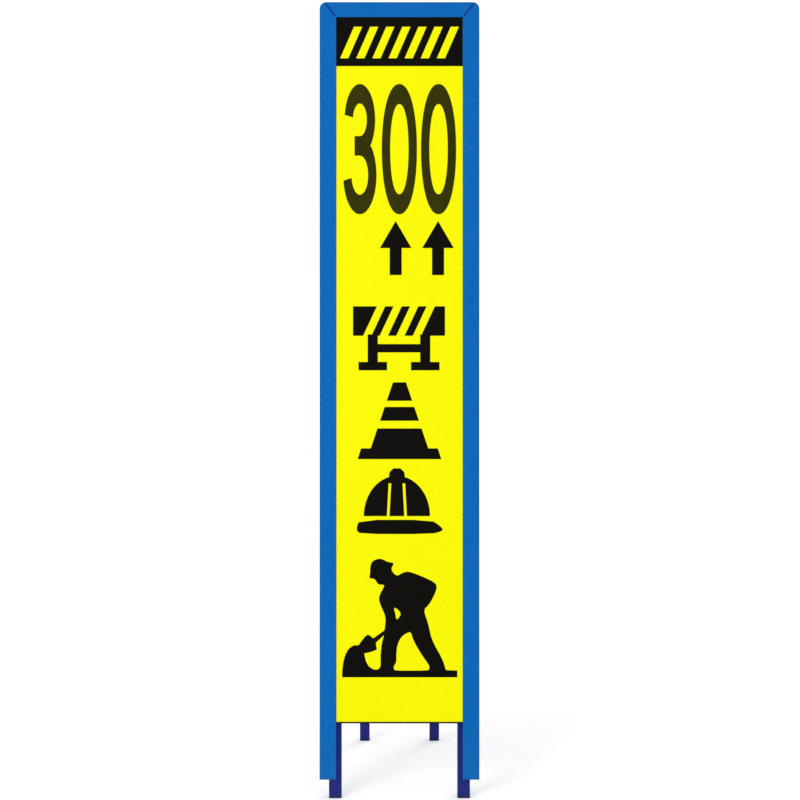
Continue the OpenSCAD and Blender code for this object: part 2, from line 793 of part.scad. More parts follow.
module right_hinge_bracket() {
  color(stand_indigo) on_front() translate([rear_x, leg_back, hinge_v]) fork(ear_in);
}

module stay_bracket() {
  color(stand_indigo) on_front() translate([0, leg_back, crossbar_v]) fork(stay_ear_in);
}

module leg_bolts() {
  color(zinc) on_front() both_sides() at_left_bolts() {
    translate([-washer_t - bolt_head, 0, 0]) hex_x(bolt_af, bolt_head);
    translate([-washer_t, 0, 0]) rod_x(bolt_r, washer_t + leg_w + rivet_len);
  }
}

module leg_washers() {
  color(zinc) on_front() both_sides() at_left_bolts()
    translate([-washer_t, 0, 0]) ring_x(washer_r, bolt_r + hole_play, washer_t);
}

module rivet_nuts() {
  color(zinc) on_front() both_sides() at_left_bolts() translate([leg_w, 0, 0]) {
    ring_x(rivet_r, bolt_r + seat_play, rivet_len);
    translate([wall, 0, 0]) ring_x(collar_r, bolt_r + seat_play, collar_t);
  }
}

module plate_studs() {
  color(bare_steel) on_front() at_studs() rod_x(stud_r, stud_len);
}

module stud_washers() {
  color(zinc) on_front() at_studs()
    translate([rail_t, 0, 0]) ring_x(washer_r, stud_r + hole_play, washer_t);
}

module stud_nuts() {
  color(zinc) on_front() at_studs()
    translate([rail_t + washer_t, 0, 0]) nut_x(stud_af, stud_r + seat_play, stud_nut);
}

// Places its children on both hinge bolts' axes, at each bracket's middle and pointing outwards
module at_hinges() {
  on_front() both_sides() translate([rear_x, hinge_w, hinge_v]) children();
}

// A bolt through a fork of this outer half width, along +x with its head at the far end
module fork_bolt(outer) {
  far = outer + pivot_washer_t;
  translate([far, 0, 0]) hex_x(pivot_af, pivot_head);
  translate([-far - pivot_nut - thread_out, 0, 0]) rod_x(pivot_r, 2 * far + pivot_nut + thread_out);
}

module fork_nut(outer) {
  translate([-outer - pivot_washer_t - pivot_nut, 0, 0]) nut_x(pivot_af, pivot_r + seat_play, pivot_nut);
}

module fork_washers(outer) {
  for (x = [outer, -outer - pivot_washer_t])
    translate([x, 0, 0]) ring_x(pivot_washer_r, pivot_r + pivot_play, pivot_washer_t);
}

module hinge_bolts() {
  color(zinc) at_hinges() fork_bolt(ear_out);
}

module hinge_nuts() {
  color(zinc) at_hinges() fork_nut(ear_out);
}

module hinge_washers() {
  color(zinc) at_hinges() fork_washers(ear_out);
}

module thrust_washers() {
  color(nylon) at_hinges()
    for (x = [-ear_in, ear_in - thrust_t])
      translate([x, 0, 0]) ring_x(thrust_r, pivot_r + pivot_play, thrust_t);
}

module stay_bolt() {
  color(zinc) on_front() translate([0, hinge_w, crossbar_v]) fork_bolt(stay_ear_out);
}

module stay_nut() {
  color(zinc) on_front() translate([0, hinge_w, crossbar_v]) fork_nut(stay_ear_out);
}

module stay_washers() {
  color(zinc) on_front() translate([0, hinge_w, crossbar_v]) fork_washers(stay_ear_out);
}

// The left rear leg, drilled for its sleeve
module rear_leg() {
  low = rear_len - rear_foot_h;
  on_rear() difference() {
    translate([-rear_x, 0, -low])
      linear_extrude(low + rear_over - cap_t) tube_section(rear_w, rear_wall, rear_r);
    translate([-rear_x - rear_w, 0, 0]) rod_x(sleeve_r + seat_play, 2 * rear_w);
  }
}

module left_rear_leg() {
  color(stand_indigo) rear_leg();
}

module right_rear_leg() {
  color(stand_indigo) mirror([1, 0, 0]) rear_leg();
}

// The left rear foot, cut level with the ground
module rear_foot() {
  difference() {
    on_rear() translate([-rear_x, 0, rear_foot_h - rear_len]) {
      translate([0, 0, -2 * rear_foot_h])
        linear_extrude(2 * rear_foot_h) polygon(square_points(rear_w, rear_r));
      translate([0, 0, plug_len]) plug_core(rear_w, rear_wall, rear_r);
    }
    ground();
  }
}

module left_rear_foot() {
  color(foot_navy) rear_foot();
}

module right_rear_foot() {
  color(foot_navy) mirror([1, 0, 0]) rear_foot();
}

// Short caps that end above the sleeves
module rear_top_caps() {
  core_len = rear_over - cap_t - sleeve_r - hole_play;
  color(foot_navy) on_rear() both_sides() translate([-rear_x, 0, rear_over - cap_t]) {
    linear_extrude(cap_t) polygon(square_points(rear_w, rear_r));
    plug_core(rear_w, rear_wall, rear_r, core_len);
  }
}

module hinge_sleeves() {
  color(zinc) on_rear() both_sides()
    translate([-rear_x - rear_w / 2, 0, 0]) ring_x(sleeve_r, pivot_r + pivot_play, rear_w);
}

module rear_tie() {
  color(stand_indigo) on_rear()
    translate([0, 0, -tie_drop]) cross_tube(rear_pitch - rear_w, rear_w, rear_wall, rear_r);
}

module hook_bar() {
  run = rear_pitch - rear_w;
  color(stand_indigo) on_rear() translate([-run / 2, 0, -hook_run]) rod_x(hook_bar_r, run);
}

// A flat bar with a round drilled end at the pivot
module stay_bar() {
  color(zinc) on_stay() difference() {
    side_plate(stay_t) {
      circle(r = stay_h / 2);
      translate([0, -stay_h / 2]) square([stay_run, stay_h]);
    }
    translate([-stay_t, 0, 0]) rod_x(pivot_r + pivot_play, 2 * stay_t);
  }
}

// The lip on the stay's end, which drops behind the round bar
module stay_hook() {
  low = -stay_rise - hook_drop;
  high = stay_h / 2;
  outer = hook_lip_w - hook_lip_r;
  color(zinc) on_stay() translate([0, stay_run, 0]) side_plate(stay_t) polygon(concat(
    [[0, low]],
    arc_points([outer, low + hook_lip_r], hook_lip_r, -90, 0),
    arc_points([outer, high - hook_lip_r], hook_lip_r, 0, 90),
    [[0, high]]));
}

left_upright();
right_upright();
top_rail();
corner_welds();
upright_caps();
sign_plate();
face_sheeting();
header_film();
number_film();
arrow_film();
barrier_film();
cone_film();
helmet_film();
worker_film();
edge_trim();
left_leg();
right_leg();
left_front_foot();
right_front_foot();
leg_top_caps();
bottom_rail();
lower_crossbar();
hinge_crossbar();
left_hinge_bracket();
right_hinge_bracket();
stay_bracket();
leg_bolts();
leg_washers();
rivet_nuts();
plate_studs();
stud_washers();
stud_nuts();
hinge_bolts();
hinge_nuts();
hinge_washers();
thrust_washers();
stay_bolt();
stay_nut();
stay_washers();
left_rear_leg();
right_rear_leg();
left_rear_foot();
right_rear_foot();
rear_top_caps();
hinge_sleeves();
rear_tie();
hook_bar();
stay_bar();
stay_hook();
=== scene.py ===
"""Looks of a free-standing roadworks sign: paint, sheeting, films, weld beads and fasteners."""
import json
import math

import bmesh
import bpy
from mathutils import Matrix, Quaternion, Vector


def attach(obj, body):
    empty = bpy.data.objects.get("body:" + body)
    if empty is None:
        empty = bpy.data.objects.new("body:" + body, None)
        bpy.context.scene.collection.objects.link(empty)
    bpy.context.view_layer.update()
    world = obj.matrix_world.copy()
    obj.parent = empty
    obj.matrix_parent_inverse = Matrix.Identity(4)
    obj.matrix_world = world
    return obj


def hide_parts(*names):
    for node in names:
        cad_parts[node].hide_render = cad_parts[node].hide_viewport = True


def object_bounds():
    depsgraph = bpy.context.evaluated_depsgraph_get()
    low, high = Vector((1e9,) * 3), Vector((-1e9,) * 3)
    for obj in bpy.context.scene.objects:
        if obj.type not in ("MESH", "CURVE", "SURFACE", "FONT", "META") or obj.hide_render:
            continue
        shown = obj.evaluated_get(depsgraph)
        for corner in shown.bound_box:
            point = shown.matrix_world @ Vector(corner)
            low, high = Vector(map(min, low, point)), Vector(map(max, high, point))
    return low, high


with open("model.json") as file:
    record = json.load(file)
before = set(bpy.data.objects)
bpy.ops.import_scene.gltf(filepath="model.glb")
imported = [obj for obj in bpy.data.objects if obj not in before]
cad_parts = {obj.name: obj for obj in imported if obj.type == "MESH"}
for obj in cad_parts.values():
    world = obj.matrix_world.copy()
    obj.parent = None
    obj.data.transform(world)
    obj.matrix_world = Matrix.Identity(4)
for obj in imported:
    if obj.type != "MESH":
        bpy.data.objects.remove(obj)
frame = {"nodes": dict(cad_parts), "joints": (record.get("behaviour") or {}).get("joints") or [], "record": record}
cad_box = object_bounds()

# Sizes, in metres; turns are in radians
MM = 0.001
LEAN = math.radians(10)
FACE_OUT = Vector((0, -math.cos(LEAN), math.sin(LEAN)))
JOINTS = {joint["name"]: Vector(joint["pos_m"]) for joint in frame["joints"]}
MOUNTS = {mount["name"]: Vector(mount["pos_m"]) for mount in frame["record"]["mounts"]}
HINGE = JOINTS["rear_leg_fold"]
PIVOT = JOINTS["stay_swing"]
FRONT_SOLE = MOUNTS["front_right_sole"]
REAR_SOLE = MOUNTS["rear_right_sole"]

# Front legs, with their crossbars and forked brackets
LEG_SIDE = 25 * MM
LEG_CORNER = 2.5 * MM
LEG_MID = 17.7 * MM
LEG_BACK = LEG_MID + LEG_SIDE / 2
LEG_INNER = FRONT_SOLE.x - LEG_SIDE / 2
FOOT_LINE_Y = FRONT_SOLE.y - LEG_MID / math.cos(LEAN)
LOW_BAR = 350 * MM
HIGH_BAR = 1230 * MM
HINGE_FORK = 14.1 * MM
STAY_FORK = 5.8 * MM
FORK_HALF = 12 * MM

# Rear legs, with their tie and hook bar
REAR_X = REAR_SOLE.x
REAR_TURN = math.atan2(REAR_SOLE.y - HINGE.y, HINGE.z)
REAR_SIDE = 20 * MM
REAR_CORNER = 2 * MM
TIE_DROP = 350 * MM
HOOK_DROP = 900 * MM
HOOK_BAR_R = 6 * MM

# Stay
STAY_T = 5 * MM
STAY_HALF = 8 * MM
HOOK_PLAY = 0.5 * MM

# Plate, bottom rail and blue frame
PLATE_BACK = 3.4 * MM
RAIL_LOW = 156 * MM
RAIL_T = 2 * MM
RAIL_WIDTH = 24 * MM
HALF_WIDTH = cad_box[1][0]
TOP = 1570 * MM
FACE_WIDTH = 33 * MM
TOP_FACE_WIDTH = 30 * MM
BOX_WIDTH = 18.5 * MM
FRAME_DEPTH = 26 * MM
FRONT_EDGE_R = 3 * MM
BACK_EDGE_R = 2 * MM
CORNER_R = 13 * MM
MITRE_INSET = 8.5 * MM
CORNER_MIDDLE = Vector((CORNER_R - HALF_WIDTH, TOP - CORNER_R))
MITRE_LOW = Vector((FACE_WIDTH - HALF_WIDTH, TOP - TOP_FACE_WIDTH))
MITRE_HIGH = Vector((MITRE_INSET - HALF_WIDTH, TOP))
BOX_SHARE = (FACE_WIDTH - BOX_WIDTH) / (FACE_WIDTH - MITRE_INSET)


def on_face(x, depth, height):
    """A point from its depth behind the leaning face and its height along it."""
    y = FOOT_LINE_Y + depth * math.cos(LEAN) + height * math.sin(LEAN)
    return Vector((x, y, height * math.cos(LEAN) - depth * math.sin(LEAN)))


def on_rear(x, depth, drop):
    """A point on the rear leg frame, from its hinge downwards."""
    y = depth * math.cos(REAR_TURN) + drop * math.sin(REAR_TURN)
    z = depth * math.sin(REAR_TURN) - drop * math.cos(REAR_TURN)
    return HINGE + Vector((x, y, z))


# The stay's shank runs over the hook bar and ends behind it
STAY_WAY = on_rear(0, 0, HOOK_DROP) - PIVOT
HOOK_REACH = HOOK_BAR_R + HOOK_PLAY
STAY_LIFT = HOOK_REACH + STAY_HALF
STAY_RUN = math.sqrt(STAY_WAY.length_squared - STAY_LIFT ** 2) + HOOK_REACH
STAY_DIP = math.atan2(-STAY_WAY.z, STAY_WAY.y) - math.asin(STAY_LIFT / STAY_WAY.length)


def on_stay(x, along, rise):
    """A point on the stay, from its pivot towards its hook."""
    y = along * math.cos(STAY_DIP) + rise * math.sin(STAY_DIP)
    z = rise * math.cos(STAY_DIP) - along * math.sin(STAY_DIP)
    return PIVOT + Vector((x, y, z))


# Node helpers
def linear(red, green, blue):
    """A colour written as 0 to 255 screen values, as the shader needs it."""
    def one(value):
        share = value / 255
        return share / 12.92 if share <= 0.04045 else ((share + 0.055) / 1.055) ** 2.4
    return (one(red), one(green), one(blue), 1.0)


def add_node(tree, kind, inputs=None, **settings):
    """A node with its settings, and each input either linked or set."""
    node = tree.nodes.new(kind)
    for key, value in settings.items():
        setattr(node, key, value)
    for key, value in (inputs or {}).items():
        if isinstance(value, bpy.types.NodeSocket):
            tree.links.new(value, node.inputs[key])
        else:
            node.inputs[key].default_value = value
    return node


def maths(tree, operation, *values):
    """One sum on values, each linked or set."""
    return add_node(tree, "ShaderNodeMath", dict(enumerate(values)), operation=operation).outputs[0]


def vector_maths(tree, operation, *values):
    """One sum on vectors; a length or a dot product gives a single value."""
    node = add_node(tree, "ShaderNodeVectorMath", dict(enumerate(values)), operation=operation)
    return node.outputs["Value" if operation in ("LENGTH", "DOT_PRODUCT") else "Vector"]


def mixed(tree, share, first, second):
    """Two colours mixed by a share."""
    node = add_node(tree, "ShaderNodeMix", {0: share, 6: first, 7: second}, data_type="RGBA")
    return node.outputs[2]


# What most of a noise's values fill, and the whole of a share
NOISE_SPAN = (0.3, 0.7)
UNIT_SPAN = (0.0, 1.0)


def ranged(tree, value, span, to_span=UNIT_SPAN):
    """A value carried from one span to another, and held at its ends."""
    low, high = span
    to_low, to_high = to_span
    inputs = {"Value": value, "From Min": low, "From Max": high, "To Min": to_low, "To Max": to_high}
    return add_node(tree, "ShaderNodeMapRange", inputs).outputs[0]


def place_of(tree):
    """Object coordinates, which stay with the piece as it moves."""
    return add_node(tree, "ShaderNodeTexCoord").outputs["Object"]


def normal_of(tree):
    """The surface's direction in the piece's own axes, which stays with it as it moves."""
    return add_node(tree, "ShaderNodeTexCoord").outputs["Normal"]


def noise(tree, scale, detail=2.0, roughness=0.5, vector=None):
    """A soft noise over the piece, or over another vector."""
    inputs = {"Vector": vector or place_of(tree), "Scale": scale, "Detail": detail, "Roughness": roughness}
    return add_node(tree, "ShaderNodeTexNoise", inputs).outputs["Fac"]


def humps(tree, turns):
    """A row of half-round humps, one for each turn."""
    swing = maths(tree, "SUBTRACT", maths(tree, "MULTIPLY", maths(tree, "FRACT", turns), 2.0), 1.0)
    return maths(tree, "SQRT", maths(tree, "SUBTRACT", 1.0, maths(tree, "MULTIPLY", swing, swing)))


def new_group(name, kind, inputs, outputs):
    """A node group with named inputs (name, type, value) and outputs (name, type)."""
    tree = bpy.data.node_groups.new(name, kind)
    for label, socket, value in inputs:
        item = tree.interface.new_socket(name=label, in_out="INPUT", socket_type=socket)
        if value is not None:
            item.default_value = value
    for label, socket in outputs:
        tree.interface.new_socket(name=label, in_out="OUTPUT", socket_type=socket)
    return tree, tree.nodes.new("NodeGroupInput").outputs, tree.nodes.new("NodeGroupOutput").inputs


def use_group(tree, group, **values):
    """The outputs of a group that is placed with its own values."""
    inputs = {key.replace("_", " ").capitalize(): value for key, value in values.items()}
    return add_node(tree, "ShaderNodeGroup", inputs, node_tree=group).outputs


# Shared effects
FLOAT = "NodeSocketFloat"
VECTOR = "NodeSocketVector"
GEOMETRY = "NodeSocketGeometry"
MATERIAL = "NodeSocketMaterial"
SCRATCH_RUNS = (("Y_AXIS", 0.3, (820.0, 30.0, 24.0)), ("Y_AXIS", -0.75, (700.0, 26.0, 34.0)),
                ("Y_AXIS", 1.25, (900.0, 34.0, 28.0)), ("X_AXIS", 0.6, (26.0, 760.0, 30.0)))


def edge_wear_group():
    """Where edges are rubbed: sharp ones, and round ones that turn away from the piece's tilted sides."""
    inputs = [("Width", FLOAT, 1.2 * MM), ("Round edges", FLOAT, 0.0),
              ("Tilt", FLOAT, 0.0), ("Amount", FLOAT, 0.5)]
    tree, given, made = new_group("Edge wear", "ShaderNodeTree", inputs, [("Mask", FLOAT)])
    softened = add_node(tree, "ShaderNodeBevel", {"Radius": given["Width"]}, samples=4).outputs[0]
    true = add_node(tree, "ShaderNodeNewGeometry").outputs["Normal"]
    bend = maths(tree, "SUBTRACT", 1.0, vector_maths(tree, "DOT_PRODUCT", softened, true))
    sharp = ranged(tree, bend, (0.02, 0.22))
    upright = add_node(tree, "ShaderNodeVectorRotate", {"Vector": normal_of(tree), "Angle": given["Tilt"]},
                       rotation_type="X_AXIS").outputs[0]
    sides = add_node(tree, "ShaderNodeSeparateXYZ", {0: vector_maths(tree, "ABSOLUTE", upright)}).outputs
    facing = maths(tree, "MAXIMUM", maths(tree, "MAXIMUM", sides["X"], sides["Y"]), sides["Z"])
    turning = ranged(tree, facing, (0.97, 0.78))
    edge = maths(tree, "MAXIMUM", sharp, maths(tree, "MULTIPLY", turning, given["Round edges"]))
    chips = ranged(tree, noise(tree, 170.0, detail=6.0, roughness=0.7), (0.545, 0.585))
    mask = maths(tree, "MULTIPLY", maths(tree, "MULTIPLY", edge, chips), given["Amount"])
    tree.links.new(mask, made["Mask"])
    return tree


def dust_group():
    """A thin pale haze on what faces up, and near the ground."""
    inputs = [("Top", FLOAT, 0.2), ("Splash", FLOAT, 0.2), ("Splash height", FLOAT, 120 * MM)]
    tree, given, made = new_group("Road dust", "ShaderNodeTree", inputs, [("Mask", FLOAT)])
    up = add_node(tree, "ShaderNodeSeparateXYZ", {0: normal_of(tree)}).outputs["Z"]
    lying = maths(tree, "MULTIPLY", ranged(tree, up, (0.35, 1.0)), given["Top"])
    height = add_node(tree, "ShaderNodeSeparateXYZ", {0: place_of(tree)}).outputs["Z"]
    low = maths(tree, "MULTIPLY", ranged(tree, height, (given["Splash height"], 0.0)), given["Splash"])
    fine = ranged(tree, noise(tree, 1400.0, detail=3.0, roughness=0.7), (0.3, 0.75), (0.5, 1.0))
    cloud = ranged(tree, noise(tree, 45.0, detail=4.0, roughness=0.6), (0.35, 0.7), (0.3, 1.0))
    haze = maths(tree, "MULTIPLY", maths(tree, "ADD", low, lying), maths(tree, "MULTIPLY", fine, cloud))
    tree.links.new(haze, made["Mask"])
    return tree


def scratch_group():
    """Fine scratches: the peaks of long thin noises in a few directions, in patches."""
    inputs = [("Amount", FLOAT, 0.3)]
    tree, given, made = new_group("Fine scratches", "ShaderNodeTree", inputs, [("Mask", FLOAT)])
    lines = 0.0
    for axis, turn, stretch in SCRATCH_RUNS:
        inputs = {"Vector": place_of(tree), "Angle": turn}
        turned = add_node(tree, "ShaderNodeVectorRotate", inputs, rotation_type=axis).outputs[0]
        level = noise(tree, 1.0, detail=1.5, vector=vector_maths(tree, "MULTIPLY", turned, stretch))
        lines = maths(tree, "MAXIMUM", lines, ranged(tree, level, (0.66, 0.71)))
    patches = ranged(tree, noise(tree, 17.0, detail=3.0), (0.42, 0.66))
    lines = maths(tree, "MULTIPLY", lines, patches)
    tree.links.new(maths(tree, "MULTIPLY", lines, given["Amount"]), made["Mask"])
    return tree


def rub_group():
    """Where another piece has rubbed the paint away: near a centre, measured along the axes that count."""
    inputs = [("Centre", VECTOR, (0.0, 0.0, 0.0)), ("Axes", VECTOR, (1.0, 1.0, 1.0)),
              ("Reach", FLOAT, 10 * MM)]
    tree, given, made = new_group("Rubbed paint", "ShaderNodeTree", inputs, [("Mask", FLOAT)])
    away = vector_maths(tree, "SUBTRACT", place_of(tree), given["Centre"])
    distance = vector_maths(tree, "LENGTH", vector_maths(tree, "MULTIPLY", away, given["Axes"]))
    near = maths(tree, "SUBTRACT", 1.0, maths(tree, "DIVIDE", distance, given["Reach"]))
    uneven = maths(tree, "SUBTRACT", noise(tree, 700.0, detail=6.0, roughness=0.7), 0.5)
    ragged = maths(tree, "MULTIPLY", uneven, 0.45)
    tree.links.new(ranged(tree, maths(tree, "ADD", near, ragged), (0.0, 0.1)), made["Mask"])
    return tree


def paint_grain_group():
    """The slightly uneven skin of sprayed paint: a tone, a roughness change and a height."""
    inputs = [("Peel scale", FLOAT, 700.0)]
    outputs = [("Tone", FLOAT), ("Gloss change", FLOAT), ("Height", FLOAT)]
    tree, given, made = new_group("Paint grain", "ShaderNodeTree", inputs, outputs)
    broad = noise(tree, 9.0, detail=3.0)
    tree.links.new(ranged(tree, broad, NOISE_SPAN, (0.975, 1.025)), made["Tone"])
    patches = noise(tree, 38.0, detail=5.0, roughness=0.6)
    tree.links.new(ranged(tree, patches, NOISE_SPAN, (-0.05, 0.07)), made["Gloss change"])
    tree.links.new(noise(tree, given["Peel scale"], detail=1.5), made["Height"])
    return tree


def cell_group():
    """Honeycomb of the reflective sheeting, drawn in the plane of the face."""
    inputs = [("Cell size", FLOAT, 3.5 * MM), ("Wall share", FLOAT, 0.12)]
    outputs = [("Wall", FLOAT), ("Cell tone", FLOAT)]
    tree, given, made = new_group("Honeycomb cells", "ShaderNodeTree", inputs, outputs)
    inputs = {"Vector": place_of(tree), "Angle": LEAN}
    turned = add_node(tree, "ShaderNodeVectorRotate", inputs, rotation_type="X_AXIS").outputs[0]
    parts = add_node(tree, "ShaderNodeSeparateXYZ", {0: turned}).outputs
    flat = add_node(tree, "ShaderNodeCombineXYZ", {"X": parts["X"], "Y": parts["Z"]}).outputs[0]
    inputs = {"X": given["Cell size"], "Y": given["Cell size"], "Z": 1.0}
    size = add_node(tree, "ShaderNodeCombineXYZ", inputs).outputs[0]
    spot = vector_maths(tree, "DIVIDE", flat, size)
    half = (0.5, math.sqrt(3) / 2, 0.5)
    back = (-0.5, -math.sqrt(3) / 2, -0.5)
    even = vector_maths(tree, "WRAP", spot, half, back)
    odd = vector_maths(tree, "WRAP", vector_maths(tree, "ADD", spot, half), half, back)
    nearer = maths(tree, "LESS_THAN", *(vector_maths(tree, "LENGTH", way) for way in (odd, even)))
    local = add_node(tree, "ShaderNodeMix", {0: nearer, 4: even, 5: odd}, data_type="VECTOR").outputs[1]
    aside = add_node(tree, "ShaderNodeSeparateXYZ", {0: vector_maths(tree, "ABSOLUTE", local)}).outputs
    slant = maths(tree, "ADD", maths(tree, "MULTIPLY", aside["X"], 0.5),
                  maths(tree, "MULTIPLY", aside["Y"], math.sqrt(3) / 2))
    reach = maths(tree, "MULTIPLY", maths(tree, "MAXIMUM", slant, aside["X"]), 2.0)
    inner = maths(tree, "SUBTRACT", 1.0, given["Wall share"])
    wall = ranged(tree, reach, (inner, 1.0))
    cell = vector_maths(tree, "SUBTRACT", spot, local)
    own = add_node(tree, "ShaderNodeTexWhiteNoise", {"Vector": cell}, noise_dimensions="3D")
    tree.links.new(wall, made["Wall"])
    tree.links.new(own.outputs["Value"], made["Cell tone"])
    return tree


def spangle_group():
    """Crystals of a zinc-coated sheet: a tone and a roughness change for each crystal."""
    inputs = [("Scale", FLOAT, 90.0)]
    outputs = [("Tone", FLOAT), ("Gloss change", FLOAT)]
    tree, given, made = new_group("Zinc spangle", "ShaderNodeTree", inputs, outputs)
    warp = add_node(tree, "ShaderNodeTexNoise", {"Vector": place_of(tree), "Scale": 45.0, "Detail": 3.0})
    shift = vector_maths(tree, "MULTIPLY", warp.outputs["Color"], (0.012, 0.012, 0.012))
    spot = vector_maths(tree, "ADD", place_of(tree), shift)
    crystal = add_node(tree, "ShaderNodeTexVoronoi", {"Vector": spot, "Scale": given["Scale"]})
    parts = add_node(tree, "ShaderNodeSeparateColor", {0: crystal.outputs["Color"]}).outputs
    tree.links.new(ranged(tree, parts[0], UNIT_SPAN, (0.90, 1.06)), made["Tone"])
    tree.links.new(ranged(tree, parts[1], UNIT_SPAN, (-0.07, 0.10)), made["Gloss change"])
    return tree


EDGE_WEAR = edge_wear_group()
ROAD_DUST = dust_group()
SCRATCHES = scratch_group()
RUBBED = rub_group()
PAINT_GRAIN = paint_grain_group()
CELLS = cell_group()
SPANGLE = spangle_group()
DUST_COLOUR = linear(196, 188, 172)
BARE_STEEL = linear(168, 168, 166)


# Materials
def new_material(name, roughness, metallic=0.0, specular=0.5):
    """A material, its tree and its shader."""
    material = bpy.data.materials.new(name)
    material.use_nodes = True
    tree = material.node_tree
    shader = tree.nodes["Principled BSDF"]
    shader.inputs["Roughness"].default_value = roughness
    shader.inputs["Metallic"].default_value = metallic
    shader.inputs["Specular IOR Level"].default_value = specular
    return material, tree, shader.inputs


def toned(tree, colour, tone):
    """A colour made lighter or darker by a tone about 1."""
    tones = add_node(tree, "ShaderNodeCombineXYZ", {"X": tone, "Y": tone, "Z": tone}).outputs[0]
    return vector_maths(tree, "MULTIPLY", colour[:3], tones)


def set_bump(tree, sockets, height, distance, strength):
    """A fine relief from a height, on the shader's normal."""
    inputs = {"Height": height, "Distance": distance, "Strength": strength}
    tree.links.new(add_node(tree, "ShaderNodeBump", inputs).outputs[0], sockets["Normal"])


CELL_SIZE = 3.4 * MM
RIDGE_PITCH = 2.1 * MM
RIDGE_BOW = 280.0


def weld_ridges(tree):
    """Crescent ridges along both mitres, as a height."""
    low = on_face(-MITRE_LOW[0], 0, MITRE_LOW[1])
    along = (on_face(-MITRE_HIGH[0], 0, MITRE_HIGH[1]) - low).normalized()
    across = along.cross(FACE_OUT)
    parts = add_node(tree, "ShaderNodeSeparateXYZ", {0: place_of(tree)}).outputs
    mirrored = add_node(tree, "ShaderNodeCombineXYZ", {
        "X": maths(tree, "ABSOLUTE", parts["X"]), "Y": parts["Y"], "Z": parts["Z"]}).outputs[0]
    spot = vector_maths(tree, "SUBTRACT", mirrored, low)
    aside = vector_maths(tree, "DOT_PRODUCT", spot, across)
    bow = maths(tree, "MULTIPLY", maths(tree, "MULTIPLY", aside, aside), RIDGE_BOW)
    run = maths(tree, "ADD", vector_maths(tree, "DOT_PRODUCT", spot, along), bow)
    return humps(tree, maths(tree, "DIVIDE", run, RIDGE_PITCH))


def painted(name, colour, worn, roughness, specular, wear, splash, tilt=LEAN, rub=None, ridged=False):
    """Sprayed paint on steel, thin at its edges, and bare where a rub (centre, axes and reach) says so."""
    material, tree, sockets = new_material(name, roughness, specular=specular)
    grain = use_group(tree, PAINT_GRAIN, peel_scale=680.0)
    thin = use_group(tree, EDGE_WEAR, width=1.2 * MM, round_edges=1.0, tilt=tilt, amount=wear)["Mask"]
    scratched = use_group(tree, SCRATCHES, amount=0.5 * wear)["Mask"]
    dust = use_group(tree, ROAD_DUST, top=0.06, splash=splash, splash_height=140 * MM)["Mask"]
    coat = mixed(tree, maths(tree, "MAXIMUM", thin, scratched), toned(tree, colour, grain["Tone"]), worn)
    base = mixed(tree, dust, coat, DUST_COLOUR)
    dulled = maths(tree, "MULTIPLY", maths(tree, "ADD", dust, scratched), 0.4)
    gloss = maths(tree, "ADD", maths(tree, "ADD", grain["Gloss change"], roughness), dulled)
    tree.links.new(gloss, sockets["Roughness"])
    if rub:
        centre, axes, reach = rub
        bare = use_group(tree, RUBBED, centre=centre, axes=axes, reach=reach)["Mask"]
        base = mixed(tree, bare, base, BARE_STEEL)
        tree.links.new(bare, sockets["Metallic"])
    tree.links.new(base, sockets["Base Color"])
    if ridged:
        set_bump(tree, sockets, weld_ridges(tree), distance=0.5 * MM, strength=0.8)
    else:
        set_bump(tree, sockets, grain["Height"], distance=0.2 * MM, strength=0.5)
    return material


def moulded(name, colour, roughness, dust_share):
    """Injection-moulded plastic with a fine spark texture."""
    material, tree, sockets = new_material(name, roughness, specular=0.12)
    dust = use_group(tree, ROAD_DUST, top=0.05, splash=dust_share, splash_height=50 * MM)["Mask"]
    tone = ranged(tree, noise(tree, 55.0, detail=4.0), NOISE_SPAN, (0.94, 1.06))
    haze = maths(tree, "MAXIMUM", dust, use_group(tree, SCRATCHES, amount=0.12)["Mask"])
    tree.links.new(mixed(tree, haze, toned(tree, colour, tone), DUST_COLOUR), sockets["Base Color"])
    spark = noise(tree, 2600.0, roughness=0.7)
    gloss = ranged(tree, spark, NOISE_SPAN, (roughness - 0.06, roughness + 0.08))
    tree.links.new(gloss, sockets["Roughness"])
    set_bump(tree, sockets, spark, distance=0.08 * MM, strength=0.5)
    return material


def sheeting(name, colour, wall_colour):
    """Reflective sheeting: a bright clear skin over honeycomb cells."""
    material, tree, sockets = new_material(name, roughness=0.38, specular=0.05)
    cells = use_group(tree, CELLS, cell_size=CELL_SIZE, wall_share=0.13)
    tone = ranged(tree, cells["Cell tone"], UNIT_SPAN, (0.975, 1.0))
    broad = ranged(tree, noise(tree, 5.0, detail=3.0), NOISE_SPAN, (0.985, 1.0))
    base = toned(tree, colour, maths(tree, "MULTIPLY", tone, broad))
    share = maths(tree, "MULTIPLY", cells["Wall"], 0.45)
    tree.links.new(mixed(tree, share, base, wall_colour), sockets["Base Color"])
    smears = ranged(tree, noise(tree, 16.0, detail=5.0, roughness=0.6), (0.35, 0.7), (0.30, 0.44))
    tree.links.new(smears, sockets["Roughness"])
    set_bump(tree, sockets, cells["Wall"], distance=0.06 * MM, strength=0.5)
    return material


